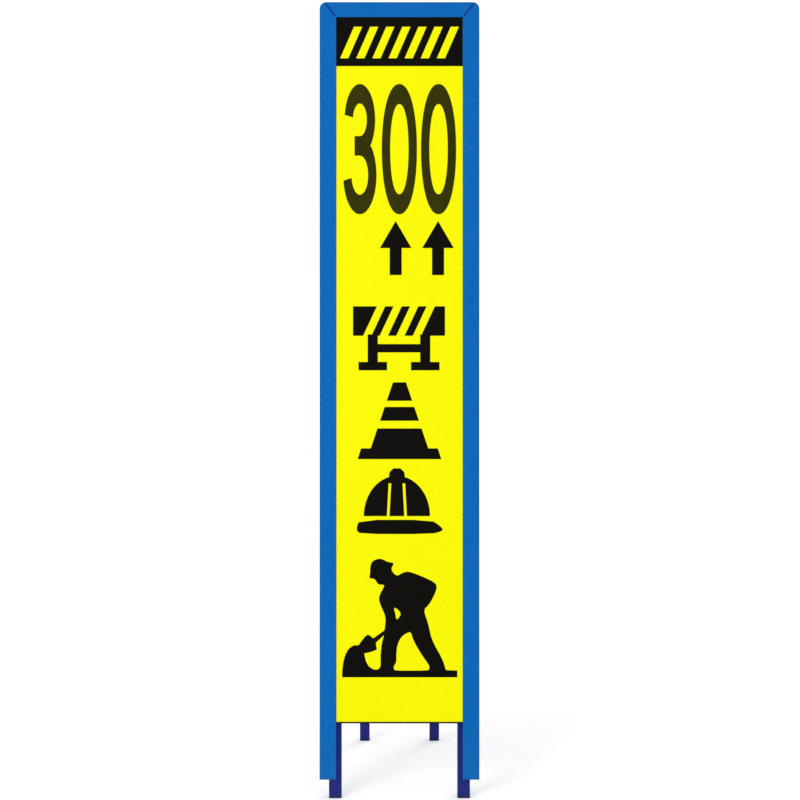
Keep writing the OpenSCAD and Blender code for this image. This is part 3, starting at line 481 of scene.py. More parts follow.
def cut_film(name, colour, roughness):
    """Cut vinyl film through which the sheeting's cells press a little."""
    material, tree, sockets = new_material(name, roughness, specular=0.04)
    cells = use_group(tree, CELLS, cell_size=CELL_SIZE, wall_share=0.2)
    grain = noise(tree, 900.0)
    tone = ranged(tree, noise(tree, 30.0, detail=4.0), NOISE_SPAN, (0.85, 1.15))
    tree.links.new(toned(tree, colour, tone), sockets["Base Color"])
    gloss = ranged(tree, grain, NOISE_SPAN, (roughness - 0.05, roughness + 0.06))
    tree.links.new(gloss, sockets["Roughness"])
    pressed = maths(tree, "MULTIPLY", cells["Wall"], 0.6)
    height = maths(tree, "ADD", pressed, maths(tree, "MULTIPLY", grain, 0.4))
    set_bump(tree, sockets, height, distance=0.05 * MM, strength=0.4)
    return material


def zinc_sheet(name, colour, roughness):
    """Zinc-coated sheet steel with its crystals and a few water marks."""
    material, tree, sockets = new_material(name, roughness, metallic=0.85, specular=0.4)
    crystals = use_group(tree, SPANGLE, scale=150.0)
    marks = ranged(tree, noise(tree, 14.0, detail=6.0, roughness=0.65), (0.5, 0.75))
    sheet = toned(tree, colour, crystals["Tone"])
    base = mixed(tree, maths(tree, "MULTIPLY", marks, 0.3), sheet, linear(205, 207, 206))
    scratched = use_group(tree, SCRATCHES, amount=0.35)["Mask"]
    tree.links.new(mixed(tree, scratched, base, linear(222, 224, 224)), sockets["Base Color"])
    gloss = maths(tree, "ADD", crystals["Gloss change"], roughness)
    tree.links.new(maths(tree, "ADD", gloss, maths(tree, "MULTIPLY", marks, 0.2)), sockets["Roughness"])
    set_bump(tree, sockets, noise(tree, 420.0, detail=3.0), distance=0.04 * MM, strength=0.4)
    return material


def plated(name, colour, roughness, stretch):
    """Zinc plate, brushed along one direction where the stretch is uneven."""
    material, tree, sockets = new_material(name, roughness, metallic=1.0)
    drawn = vector_maths(tree, "MULTIPLY", place_of(tree), stretch)
    lines = noise(tree, 1.0, detail=3.0, roughness=0.7, vector=drawn)
    line_span = (0.25, 0.75)
    bloom = ranged(tree, noise(tree, 70.0, detail=5.0, roughness=0.6), (0.4, 0.75))
    tone = ranged(tree, lines, line_span, (0.90, 1.08))
    rubbed = use_group(tree, EDGE_WEAR, width=0.6 * MM, amount=0.7)["Mask"]
    plate = toned(tree, colour, tone)
    dull = mixed(tree, maths(tree, "MULTIPLY", bloom, 0.35), plate, linear(176, 178, 170))
    tree.links.new(mixed(tree, rubbed, dull, linear(226, 228, 230)), sockets["Base Color"])
    brushed = ranged(tree, lines, line_span, (roughness - 0.06, roughness + 0.08))
    gloss = maths(tree, "ADD", brushed, maths(tree, "MULTIPLY", bloom, 0.16))
    tree.links.new(gloss, sockets["Roughness"])
    set_bump(tree, sockets, lines, distance=0.03 * MM, strength=0.4)
    return material


INDIGO = linear(14, 31, 120)
INDIGO_THIN = linear(84, 94, 156)


def indigo_paint(name, tilt=LEAN, wear=0.45, rub=None):
    """The paint of the legs and of all that is welded to them."""
    return painted(name, INDIGO, INDIGO_THIN, roughness=0.34, specular=0.1, wear=wear, splash=0.04,
                   tilt=tilt, rub=rub)


MATERIALS = {
    "blue_paint": painted("Blue frame paint", linear(0, 102, 181), linear(70, 142, 200), roughness=0.34,
                          specular=0.07, wear=0.4, splash=0.03),
    "blue_caps": moulded("Blue end cap plastic", linear(0, 97, 174), roughness=0.44, dust_share=0.03),
    # The front mitre beads' darker blue is painted shade: it stands in for the shade in the mitre seams
    "weld_paint": painted("Mitre bead blue darkened as painted seam shade", linear(0, 60, 158), linear(30, 90, 176), roughness=0.34,
                          specular=0.11, wear=0.1, splash=0.0, ridged=True),
    "plate_steel": zinc_sheet("Zinc-coated plate steel", linear(176, 180, 184), roughness=0.42),
    "yellow_sheeting": sheeting("Yellow reflective sheeting", linear(254, 252, 0), linear(240, 229, 0)),
    "black_film": cut_film("Black cut film", linear(7, 6, 3), roughness=0.46),
    "number_film": cut_film("Olive-black number film", linear(50, 49, 2), roughness=0.46),
    "edge_trim": moulded("Black edge trim", linear(12, 12, 13), roughness=0.5, dust_share=0.02),
    "indigo_paint": indigo_paint("Indigo leg paint"),
    "stay_zinc": plated("Brushed zinc of the stay", linear(186, 190, 194), roughness=0.34,
                        stretch=(900.0, 30.0, 900.0)),
    "navy_caps": moulded("Navy foot plastic", linear(19, 28, 95), roughness=0.5, dust_share=0.05),
    "zinc": plated("Bright zinc of the fasteners", linear(198, 200, 200), roughness=0.28,
                   stretch=(420.0, 420.0, 420.0)),
    "nylon": moulded("Natural nylon", linear(228, 224, 210), roughness=0.4, dust_share=0.0),
}

# Painted pieces that lean the other way, or that another piece turns or hangs on
WASHER_RUB = 10.2 * MM
HOOK_RUB = 7 * MM
ROUND_THE_BOLT = (0.0, 1.0, 1.0)
ALONG_THE_BAR = (1.0, 0.0, 0.0)
REAR_PAINT = indigo_paint("Indigo rear leg paint", -REAR_TURN)
HINGE_PAINT = indigo_paint("Indigo paint rubbed at the hinges", rub=(HINGE, ROUND_THE_BOLT, WASHER_RUB))
STAY_PAINT = indigo_paint("Indigo paint rubbed at the stay", rub=(PIVOT, ROUND_THE_BOLT, WASHER_RUB))
HOOK_PAINT = indigo_paint("Indigo paint rubbed under the hook", wear=0.0,
                          rub=(Vector(), ALONG_THE_BAR, HOOK_RUB))
OWN_PAINT = {
    "left_rear_leg": REAR_PAINT,
    "right_rear_leg": REAR_PAINT,
    "rear_tie": REAR_PAINT,
    "left_hinge_bracket": HINGE_PAINT,
    "right_hinge_bracket": HINGE_PAINT,
    "stay_bracket": STAY_PAINT,
    "hook_bar": HOOK_PAINT,
}
SLOT_OF = {part["node"]: part["material_slot"] for part in frame["record"]["subparts"]}

# How round the made edges are: films are thin, tubes are drawn, plates are sheared
EDGE_ROUND = {
    "yellow_sheeting": 0.04 * MM, "black_film": 0.05 * MM, "number_film": 0.05 * MM,
    "plate_steel": 0.12 * MM, "edge_trim": 0.25 * MM, "zinc": 0.2 * MM, "nylon": 0.15 * MM,
    "navy_caps": 0.4 * MM, "blue_caps": 0.5 * MM, "stay_zinc": 0.5 * MM,
    "blue_paint": 0.35 * MM, "indigo_paint": 0.35 * MM, "weld_paint": 0.1 * MM,
}
EDGE_STEPS = 2
JOIN_REACH = 0.005 * MM
FLAT_TURN = math.radians(0.5)
SHARP_TURN = math.radians(32)


def smooth_tree():
    """Shades every face smooth, so that rounded edges and short facets run into each other."""
    inputs = [("Mesh", GEOMETRY, None)]
    tree, given, made = new_group("Smooth faces", "GeometryNodeTree", inputs, [("Mesh", GEOMETRY)])
    smooth = add_node(tree, "GeometryNodeSetShadeSmooth", {"Geometry": given["Mesh"]})
    tree.links.new(smooth.outputs[0], made["Mesh"])
    return tree


SMOOTH_TREE = smooth_tree()


def dress_node(name):
    """The node's material, and rounded edges over its welded triangles."""
    node = frame["nodes"][name]
    slot = SLOT_OF[name]
    finish = OWN_PAINT.get(name, MATERIALS[slot])
    for place in node.material_slots:
        place.material = finish
    if not node.material_slots:
        node.data.materials.append(finish)
    node.modifiers.new("Joined triangles", "WELD").merge_threshold = JOIN_REACH
    flat = node.modifiers.new("Flat faces", "DECIMATE")
    flat.decimate_type = "DISSOLVE"
    flat.angle_limit = FLAT_TURN
    node.modifiers.new("Smooth faces", "NODES").node_group = SMOOTH_TREE
    rounding = node.modifiers.new("Rounded edges", "BEVEL")
    rounding.width = EDGE_ROUND[slot]
    rounding.segments = EDGE_STEPS
    rounding.limit_method = "ANGLE"
    rounding.angle_limit = SHARP_TURN
    rounding.harden_normals = True
    node.modifiers.new("Even shading", "WEIGHTED_NORMAL").keep_sharp = True


# Weld beads, which follow their paths: a radius, a ripple pitch and the ripple's share of the radius
RIPPLE_PITCH = 1.9 * MM
RIPPLE_SHARE = 0.3
TUBE_BEAD = (2.1 * MM, RIPPLE_PITCH, RIPPLE_SHARE)
BRACKET_BEAD = (1.5 * MM, RIPPLE_PITCH, RIPPLE_SHARE)
RAIL_BEAD = (1.3 * MM, RIPPLE_PITCH, RIPPLE_SHARE)
HOOK_BEAD = (1 * MM, 1.2 * MM, RIPPLE_SHARE)
MITRE_BEAD = (2.3 * MM, RIDGE_PITCH, 0.16)
OUTER_SEAM_BEAD = (0.8 * MM, 1.1 * MM, 0.1)
INNER_SEAM_BEAD = (1.5 * MM, 1.7 * MM, 0.24)
BEAD_SIDES = 12
BEAD_STEP = 0.35 * MM
RUN_OUT_SHARE = 1.3
END_WIDTH_SHARE = 0.12
DRIFT_SHARE = 0.28
DRIFT_SCALE = 260.0
MITRE_CROWN_SHARE = 0.19
MITRE_RUN_SHARES = (0.045, 0.4, 0.89)
SEAM_SINK = 0.45 * MM
SEAM_END = 9 * MM
FORK_BEAD_SHORT = 2.5 * MM
HOOK_BEAD_SHORT = 1.5 * MM
RAIL_BEAD_DEPTHS = (8 * MM, 16 * MM, 25 * MM)
CORNER_STEPS = 4
BAR_STEPS = 24
QUARTER = [math.radians(angle) for angle in range(0, 91, 15)]


def bead_tree():
    """Sweeps a rippled bead along every path of a wire mesh."""
    inputs = [("Paths", GEOMETRY, None), ("Radius", FLOAT, 1.5 * MM), ("Ripple pitch", FLOAT, 1.6 * MM),
              ("Ripple depth", FLOAT, 0.22), ("Run-out", FLOAT, 2 * MM), ("Step", FLOAT, 0.4 * MM),
              ("Seed", FLOAT, 1.0), ("Paint", MATERIAL, None)]
    tree, given, made = new_group("Weld bead", "GeometryNodeTree", inputs, [("Bead", GEOMETRY)])
    wire = add_node(tree, "GeometryNodeMeshToCurve", {"Mesh": given["Paths"]}).outputs[0]
    spaced = {"Curve": wire, "Length": given["Step"]}
    even = add_node(tree, "GeometryNodeResampleCurve", spaced, mode="LENGTH")
    along = add_node(tree, "GeometryNodeSplineParameter").outputs["Length"]
    hump = humps(tree, maths(tree, "DIVIDE", along, given["Ripple pitch"]))
    dip = maths(tree, "MULTIPLY", maths(tree, "SUBTRACT", hump, 1.0), given["Ripple depth"])
    place = add_node(tree, "GeometryNodeInputPosition").outputs[0]
    inputs = {"Vector": place, "W": given["Seed"], "Scale": DRIFT_SCALE}
    drift = add_node(tree, "ShaderNodeTexNoise", inputs, noise_dimensions="4D").outputs["Fac"]
    middle = maths(tree, "ADD", dip, 1 - DRIFT_SHARE / 2)
    bulge = maths(tree, "ADD", middle, maths(tree, "MULTIPLY", drift, DRIFT_SHARE))
    whole = add_node(tree, "GeometryNodeSplineLength").outputs["Length"]
    closed = add_node(tree, "GeometryNodeInputSplineCyclic").outputs[0]
    from_end = maths(tree, "MINIMUM", along, maths(tree, "SUBTRACT", whole, along))
    lack = maths(tree, "SUBTRACT", 1.0, maths(tree, "DIVIDE", from_end, given["Run-out"]))
    short = maths(tree, "MAXIMUM", 0.0, lack)
    rounded = maths(tree, "SQRT", maths(tree, "SUBTRACT", 1.0, maths(tree, "MULTIPLY", short, short)))
    kept = maths(tree, "MAXIMUM", maths(tree, "MAXIMUM", rounded, closed), END_WIDTH_SHARE)
    width = maths(tree, "MULTIPLY", bulge, kept)
    inputs = {"Resolution": BEAD_SIDES, "Radius": given["Radius"]}
    ring = add_node(tree, "GeometryNodeCurvePrimitiveCircle", inputs)
    swept = add_node(tree, "GeometryNodeCurveToMesh", {
        "Curve": even.outputs[0], "Profile Curve": ring.outputs[0], "Scale": width, "Fill Caps": True})
    smooth = add_node(tree, "GeometryNodeSetShadeSmooth", {"Geometry": swept.outputs[0]})
    real = add_node(tree, "GeometryNodeRealizeInstances", {"Geometry": smooth.outputs[0]})
    paint = {"Geometry": real.outputs[0], "Material": given["Paint"]}
    tree.links.new(add_node(tree, "GeometryNodeSetMaterial", paint).outputs[0], made["Bead"])
    return tree


def repeat_tree():
    """Puts a copy of one fastener on every point, turned as the point says."""
    inputs = [("Places", GEOMETRY, None), ("Fastener", "NodeSocketObject", None), ("Finish", MATERIAL, None)]
    tree, given, made = new_group("Repeated fastener", "GeometryNodeTree", inputs, [("Set", GEOMETRY)])
    source = add_node(tree, "GeometryNodeObjectInfo", {"Object": given["Fastener"]})
    turn = add_node(tree, "GeometryNodeInputNamedAttribute", {"Name": "turn"}, data_type="FLOAT_VECTOR")
    spin = add_node(tree, "FunctionNodeEulerToRotation", {0: turn.outputs[0]}).outputs[0]
    copies = add_node(tree, "GeometryNodeInstanceOnPoints", {
        "Points": given["Places"], "Instance": source.outputs["Geometry"], "Rotation": spin})
    real = add_node(tree, "GeometryNodeRealizeInstances", {"Geometry": copies.outputs[0]})
    finish = {"Geometry": real.outputs[0], "Material": given["Finish"]}
    tree.links.new(add_node(tree, "GeometryNodeSetMaterial", finish).outputs[0], made["Set"])
    return tree


BEAD_TREE = bead_tree()
REPEAT_TREE = repeat_tree()


def shown(name, data):
    """An object in the scene."""
    thing = bpy.data.objects.new(name, data)
    bpy.context.scene.collection.objects.link(thing)
    return thing


def grown(name, tree, base, values):
    """A plain mesh object from a node tree that grows on a base mesh."""
    piece = shown(name, base)
    modifier = piece.modifiers.new("Grown", "NODES")
    modifier.node_group = tree
    for item in tree.interface.items_tree:
        if item.in_out == "INPUT" and item.name in values:
            modifier[item.identifier] = values[item.name]
    bpy.context.view_layer.update()
    depsgraph = bpy.context.evaluated_depsgraph_get()
    made = bpy.data.meshes.new_from_object(piece.evaluated_get(depsgraph), depsgraph=depsgraph)
    piece.modifiers.remove(modifier)
    piece.data = made
    made.name = name
    return piece


def settle(piece, body, slot, *nodes):
    """The piece's body, and the nodes that it stands for, which are hidden; the slot is not used."""
    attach(piece, body)
    if nodes:
        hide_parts(*nodes)


def add_beads(name, paths, body, slot, bead):
    """Beads along paths, each a list of points and whether it closes."""
    radius, pitch, ripple_share = bead
    points = []
    edges = []
    for path, closed in paths:
        first = len(points)
        points.extend(path)
        edges.extend((first + i, first + i + 1) for i in range(len(path) - 1))
        if closed:
            edges.append((len(points) - 1, first))
    wire = bpy.data.meshes.new(name)
    wire.from_pydata(points, edges, [])
    values = {"Radius": radius, "Ripple pitch": pitch, "Ripple depth": ripple_share,
              "Run-out": RUN_OUT_SHARE * radius, "Step": BEAD_STEP, "Seed": float(len(name)),
              "Paint": MATERIALS[slot]}
    piece = grown(name, BEAD_TREE, wire, values)
    if body:
        settle(piece, body, slot)
    return piece


def around(count):
    """Turns that are evenly spaced round a circle."""
    return [2 * math.pi * i / count for i in range(count)]


def rounded_square(side, corner):
    """Points round a square with rounded corners."""
    inner = side / 2 - corner
    turns = [(1, 1, 0), (-1, 1, 1), (-1, -1, 2), (1, -1, 3)]
    points = []
    for across, up, quarter in turns:
        for step in range(CORNER_STEPS + 1):
            angle = (quarter + step / CORNER_STEPS) * math.pi / 2
            points.append((across * inner + corner * math.cos(angle), up * inner + corner * math.sin(angle)))
    return points


def crossbar_paths():
    """Under, behind and over both ends of both crossbars; the plate is too close for a bead in front."""
    ring = rounded_square(LEG_SIDE, LEG_CORNER)
    half = LEG_SIDE / 2
    front = LEG_CORNER - half
    run = [(front, -half)] + ring[-CORNER_STEPS - 1:] + ring[:CORNER_STEPS + 1] + [(front, half)]
    return [([on_face(side * LEG_INNER, LEG_MID + depth, height + rise) for depth, rise in run], False)
            for height in (LOW_BAR, HIGH_BAR) for side in (-1, 1)]


def fork_paths():
    """Down both sides of the three forked brackets."""
    forks = [(-REAR_X, HIGH_BAR, HINGE_FORK), (REAR_X, HIGH_BAR, HINGE_FORK), (0, LOW_BAR, STAY_FORK)]
    run = FORK_HALF - FORK_BEAD_SHORT
    return [([on_face(x + side * half, LEG_BACK, height + rise) for rise in (-run, 0, run)], False)
            for x, height, half in forks for side in (-1, 1)]


def bottom_rail_paths():
    """Above and below the rail's level flange at both legs."""
    return [([on_face(side * LEG_INNER, depth, height) for depth in RAIL_BEAD_DEPTHS], False)
            for side in (-1, 1) for height in (RAIL_LOW, RAIL_LOW + RAIL_T)]


def rear_frame_paths():
    """Round the ends of the tie and of the hook bar."""
    ring = rounded_square(REAR_SIDE, REAR_CORNER)
    end = REAR_X - REAR_SIDE / 2
    loop = [(HOOK_BAR_R * math.cos(a), HOOK_BAR_R * math.sin(a)) for a in around(BAR_STEPS)]
    return [([on_rear(side * end, depth, middle + drop) for depth, drop in points], True)
            for points, middle in ((ring, TIE_DROP), (loop, HOOK_DROP)) for side in (-1, 1)]


def stay_hook_paths():
    """Up both sides of the joint between the stay and its lip."""
    run = STAY_HALF - HOOK_BEAD_SHORT
    return [([on_stay(side * STAY_T / 2, STAY_RUN, rise) for rise in (-run, 0, run)], False)
            for side in (-1, 1)]


def mitre_point(side, share, depth):
    """A point on a mitre, from the opening's corner to the top edge."""
    x, height = MITRE_LOW.lerp(MITRE_HIGH, share)
    return on_face(-side * x, depth, height)


def corner_share(radius):
    """Where the mitre leaves a circle about the round corner's middle, as a share of its run."""
    run = MITRE_HIGH - MITRE_LOW
    start = MITRE_LOW - CORNER_MIDDLE
    half = start.dot(run) / run.length_squared
    return -half + math.sqrt(half ** 2 - (start.length_squared - radius ** 2) / run.length_squared)


def outer_seam(side):
    """Over the frame's outer side, from the front face to the back, sunk a little into the joint."""
    front = CORNER_R - FRONT_EDGE_R
    back = CORNER_R - BACK_EDGE_R
    rear = FRAME_DEPTH - BACK_EDGE_R
    front_r = FRONT_EDGE_R - SEAM_SINK
    back_r = BACK_EDGE_R - SEAM_SINK
    over = [(front + front_r * math.sin(a), FRONT_EDGE_R - front_r * math.cos(a)) for a in QUARTER]
    over += [(back + back_r * math.cos(a), rear + back_r * math.sin(a)) for a in QUARTER]
    return [mitre_point(side, corner_share(radius), depth) for radius, depth in over]


def inner_seam(side):
    """Across the back and down into the corner between the two boxes."""
    rear = FRAME_DEPTH - BACK_EDGE_R
    bend_share = math.sqrt(2) * BACK_EDGE_R / (MITRE_HIGH - MITRE_LOW).length
    bend = [(BOX_SHARE + bend_share * (1 - math.sin(a)), rear + BACK_EDGE_R * math.cos(a)) for a in QUARTER]
    path = [(corner_share(CORNER_R - BACK_EDGE_R), FRAME_DEPTH)] + bend + [(BOX_SHARE, SEAM_END)]
    return [mitre_point(side, share, depth) for share, depth in path]


def flatten(piece, share):
    """Presses a bead towards the frame's front face."""
    origin = on_face(0, 0, 0)
    for vertex in piece.data.vertices:
        height = (vertex.co - origin).dot(FACE_OUT)
        vertex.co -= FACE_OUT * height * (1 - share)


def add_corner_beads():
    """Flat rippled beads on the mitres in front, fine ones over the outside and round ones behind."""
    front = [([mitre_point(side, share, 0) for share in MITRE_RUN_SHARES], False) for side in (-1, 1)]
    # These front beads take the darker blue that paints the shade of the mitre seams
    bead = add_beads("corner_weld_beads", front, None, "weld_paint", MITRE_BEAD)
    flatten(bead, MITRE_CROWN_SHARE)
    settle(bead, "frame", "weld_paint", "corner_welds")
    outside = [(outer_seam(side), False) for side in (-1, 1)]
    add_beads("corner_seam_beads", outside, "frame", "blue_paint", OUTER_SEAM_BEAD)
    behind = [(inner_seam(side), False) for side in (-1, 1)]
    add_beads("corner_back_beads", behind, "frame", "blue_paint", INNER_SEAM_BEAD)


# Fasteners, made along +Z and then repeated
ROUND = 48
HEX_FACE_SHARE = 0.475
CHAMFER_SLOPE = math.tan(math.radians(30))
THREAD_ROWS = 8
THREAD_DEPTH_SHARE = 0.6
THREAD_TIP_SHARE = 0.65
CREST_POWER = 1.5
BOLT_FACE_SHARE = 0.46
BOLT_STEP_SHARE = 0.05
COLLAR_SHARE = 0.44
LOCK_HEX_SHARE = 0.66
BORE_SHARE = 1.03
BORE_MOUTH_SHARE = 1.15
BORE_CHAMFER_SHARE = 0.12
STUD_FOOT_SHARE = 1.12
STUD_FOOT_TOP = 0.4 * MM
STUD_NECK = 0.6 * MM
STUD_THREAD_LOW = 0.9 * MM


def fill_rings(mesh, rings, bored):
    """Joins rings of points in order; a bored form closes on its first ring, others have end faces."""
    rows = [[mesh.verts.new(point) for point in ring] for ring in rings]
    nexts = rows[1:] + rows[:1] if bored else rows[1:]
    for low, high in zip(rows, nexts):
        for i in range(ROUND):
            j = (i + 1) % ROUND
            mesh.faces.new((low[i], low[j], high[j], high[i]))
    if not bored:
        mesh.faces.new(list(reversed(rows[0])))
        mesh.faces.new(rows[-1])


def circle(radius, height):
    """A level ring of points."""
    return [(radius * math.cos(a), radius * math.sin(a), height) for a in around(ROUND)]


def hex_reach(angle, flats):
    """Distance from the middle to a hexagon's side."""
    part = (angle + math.pi / 6) % (math.pi / 3) - math.pi / 6
    return flats / 2 / math.cos(part)


def hex_rings(flats, low, high, chamfer_low, chamfer_high):
    """Rings of a hexagon whose corners are turned off at one or both ends."""
    face = HEX_FACE_SHARE * flats

    def ring(height, sign, chamfered):
        points = []
        for a in around(ROUND):
            reach = hex_reach(a, flats)
            drop = (reach - face) * CHAMFER_SLOPE if chamfered else 0
            points.append((reach * math.cos(a), reach * math.sin(a), height - sign * drop))
        return points

    rings = []
    if chamfer_low:
        rings.append(circle(face, low))
    rings.append(ring(low, -1, chamfer_low))
    rings.append(ring(high, 1, chamfer_high))
    if chamfer_high:
        rings.append(circle(face, high))
    return rings


def thread_rings(radius, low, high, pitch, tip):
    """Rings of a screw thread whose crests are turned off at its tip."""
    depth = THREAD_DEPTH_SHARE * pitch
    rows = round((high - low) / pitch * THREAD_ROWS)
    rings = []
    for row in range(rows + 1):
        height = low + (high - low) * row / rows
        cut = radius - THREAD_TIP_SHARE * pitch + abs(height - tip)
        ring = []
        for i, a in enumerate(around(ROUND)):
            phase = (height / pitch - i / ROUND) % 1.0
            reach = min(cut, radius - depth * abs(2 * phase - 1) ** CREST_POWER)
            ring.append((reach * math.cos(a), reach * math.sin(a), height))
        rings.append(ring)
    return rings


def make_fastener(name, rings, bored=False):
    """An object whose mesh joins the rings into one closed shell."""
    shape = bmesh.new()
    fill_rings(shape, rings, bored)
    bmesh.ops.recalc_face_normals(shape, faces=shape.faces)
    data = bpy.data.meshes.new(name)
    shape.to_mesh(data)
    shape.free()
    data.shade_smooth()
    data.set_sharp_from_angle(angle=SHARP_TURN)
    return shown(name, data)


def hex_bolt(name, flats, head, radius, shank, thread, pitch):
    """A bolt whose head stands on z = 0 and whose shank runs down to its thread."""
    tip = -shank - thread
    face_r = BOLT_FACE_SHARE * flats
    step = BOLT_STEP_SHARE * head
    rings = thread_rings(radius, tip, -shank, pitch, tip)
    rings += [circle(radius, pitch / 2 - shank), circle(radius, 0.0)]
    rings += [circle(face_r, 0.0), circle(face_r, step)]
    return make_fastener(name, rings + hex_rings(flats, step, head, False, True))


def turned_rings(radius, height, shares):
    """Rings of a turned outline, whose points are shares of a radius and of a height."""
    return [circle(across * radius, up * height) for across, up in shares]


def lock_nut(name, flats, height, bore):
    """A lock nut: a hexagon with a round collar rolled over the seat of its insert."""
    collar_shares = [(1.0, LOCK_HEX_SHARE), (1.0, 0.90), (0.97, 0.96), (0.90, 1.0)]
    seat_shares = [(1.28, 1.0), (1.22, 0.93), (1.22, 0.72), (BORE_SHARE, 0.70),
                   (BORE_SHARE, 0.06), (1.14, 0.0)]
    rings = hex_rings(flats, 0.0, LOCK_HEX_SHARE * height, True, True)
    rings += turned_rings(COLLAR_SHARE * flats, height, collar_shares)
    return make_fastener(name, rings + turned_rings(bore, height, seat_shares), True)


def plain_nut(name, flats, height, bore):
    """A nut that is turned off at both ends of its hexagon and of its bore."""
    chamfer = BORE_CHAMFER_SHARE * bore
    mouth_r = BORE_MOUTH_SHARE * bore
    inner_r = BORE_SHARE * bore
    rings = hex_rings(flats, 0.0, height, True, True)
    rings += [circle(mouth_r, height), circle(inner_r, height - chamfer)]
    rings += [circle(inner_r, chamfer), circle(mouth_r, 0.0)]
    return make_fastener(name, rings, True)


def nut_insert(name, bore, height):
    """The plastic ring that shows in a lock nut's collar."""
    shares = [(0.99, 0.73), (1.21, 0.73), (1.21, 0.97), (1.16, 0.985), (1.02, 0.985), (0.99, 0.95)]
    return make_fastener(name, turned_rings(bore, height, shares), True)


def stud(name, radius, length, pitch):
    """A welded stud: a short plain foot and a thread."""
    foot_r = STUD_FOOT_SHARE * radius
    foot = [circle(foot_r, 0.0), circle(foot_r, STUD_FOOT_TOP), circle(radius, STUD_NECK)]
    return make_fastener(name, foot + thread_rings(radius, STUD_THREAD_LOW, length, pitch, length))


def place_set(name, fastener, places, body, slot, *nodes):
    """Copies of one fastener at places (point, direction and spin), as one piece that takes its stead."""
    points = bpy.data.meshes.new(name)
    points.from_pydata([point for point, _, _ in places], [], [])
    turns = points.attributes.new("turn", "FLOAT_VECTOR", "POINT")
    for i, (_, direction, spin) in enumerate(places):
        quaternion = Vector(direction).to_track_quat("Z", "Y") @ Quaternion((0, 0, 1), math.radians(spin))
        turns.data[i].vector = quaternion.to_euler()
    piece = grown(name, REPEAT_TREE, points, {"Fastener": fastener, "Finish": MATERIALS[slot]})
    bpy.data.objects.remove(fastener)
    settle(piece, body, slot, *nodes)


# Sizes and places of the fasteners; spins are in degrees
BOLT_OFF = 60 * MM
LEG_BOLT_ROWS = (LOW_BAR - BOLT_OFF, LOW_BAR + BOLT_OFF, (LOW_BAR + HIGH_BAR) / 2, HIGH_BAR - BOLT_OFF)
LEG_BOLT_DEPTH = FRAME_DEPTH / 2
LEG_BOLT_SPINS = (4, 27, 13, 41, 22, 8, 35, 17)
LEG_BOLT = {"flats": 10 * MM, "head": 4 * MM, "radius": 3 * MM,
            "shank": 22 * MM, "thread": 18 * MM, "pitch": 1 * MM}
LEG_WASHER = 1.2 * MM
PIVOT_R = 4 * MM
PIVOT_FLATS = 13 * MM
PIVOT_HEAD = 5.3 * MM
PIVOT_PITCH = 1.25 * MM
PIVOT_WASHER = 1.6 * MM
NUT_HEIGHT = 8 * MM
NUT_SPIN = 9
SHANK_IN_NUT_SHARE = 0.8
THREAD_OUT = 2 * MM
STUD_X = 70 * MM
STUD_V = RAIL_LOW + RAIL_T + (RAIL_WIDTH - RAIL_T) / 2
STUD_R = 2.5 * MM
STUD_LENGTH = 14 * MM
STUD_PITCH = 0.8 * MM
STUD_SPIN = 10
STUD_NUT_SEAT = 3.2 * MM
STUD_NUT_FLATS = 8 * MM
STUD_NUT_HEIGHT = 4 * MM
STUD_NUT_SPINS = (6, 31)


def add_leg_bolts():
    """Bolts through the front legs into the uprights."""
    places = []
    for side in (-1, 1):
        for row in LEG_BOLT_ROWS:
            seat = on_face(side * (LEG_INNER - LEG_WASHER), LEG_BOLT_DEPTH, row)
            places.append((seat, (-side, 0, 0), LEG_BOLT_SPINS[len(places)]))
    place_set("leg_bolt_set", hex_bolt("leg_bolt", **LEG_BOLT), places, "frame", "zinc", "leg_bolts")


def add_pivot_bolts():
    """Bolts, lock nuts and inserts of the two hinges and of the stay."""
    hinges = [(REAR_X, 1, 11), (-REAR_X, -1, 37)]
    pivots = [("hinge", "hinge_bolts", "hinge_nuts", hinges, HINGE, HINGE_FORK),
              ("stay", "stay_bolt", "stay_nut", [(0, 1, 24)], PIVOT, STAY_FORK)]
    for label, bolt_node, nut_node, axes, centre, fork in pivots:
        far = fork + PIVOT_WASHER
        heads = [(centre + Vector((x + side * far, 0, 0)), (side, 0, 0), spin) for x, side, spin in axes]
        nuts = [(centre + Vector((x - side * far, 0, 0)), (-side, 0, 0), spin + NUT_SPIN)
                for x, side, spin in axes]
        shank = 2 * far + SHANK_IN_NUT_SHARE * NUT_HEIGHT
        thread = (1 - SHANK_IN_NUT_SHARE) * NUT_HEIGHT + THREAD_OUT
        bolt = hex_bolt(label + "_bolt_form", PIVOT_FLATS, PIVOT_HEAD, PIVOT_R, shank, thread, PIVOT_PITCH)
        place_set(label + "_bolt_set", bolt, heads, "frame", "zinc", bolt_node)
        nut = lock_nut(label + "_nut_form", PIVOT_FLATS, NUT_HEIGHT, PIVOT_R)
        place_set(label + "_lock_nuts", nut, nuts, "frame", "zinc", nut_node)
        insert = nut_insert(label + "_insert_form", PIVOT_R, NUT_HEIGHT)
        place_set(label + "_nut_inserts", insert, nuts, "frame", "nylon")


def add_studs():
    """Welded studs behind the plate, and the nuts that hold it to the bottom rail."""
    back = -FACE_OUT
    feet = [(on_face(x, PLATE_BACK, STUD_V), back, STUD_SPIN) for x in (-STUD_X, STUD_X)]
    form = stud("stud_form", STUD_R, STUD_LENGTH, STUD_PITCH)
    place_set("threaded_studs", form, feet, "frame", "plate_steel", "plate_studs")
    seats = [(point + back * STUD_NUT_SEAT, back, spin) for (point, _, _), spin in zip(feet, STUD_NUT_SPINS)]
    nut = plain_nut("stud_nut_form", STUD_NUT_FLATS, STUD_NUT_HEIGHT, STUD_R)
    place_set("stud_nut_set", nut, seats, "frame", "zinc", "stud_nuts")


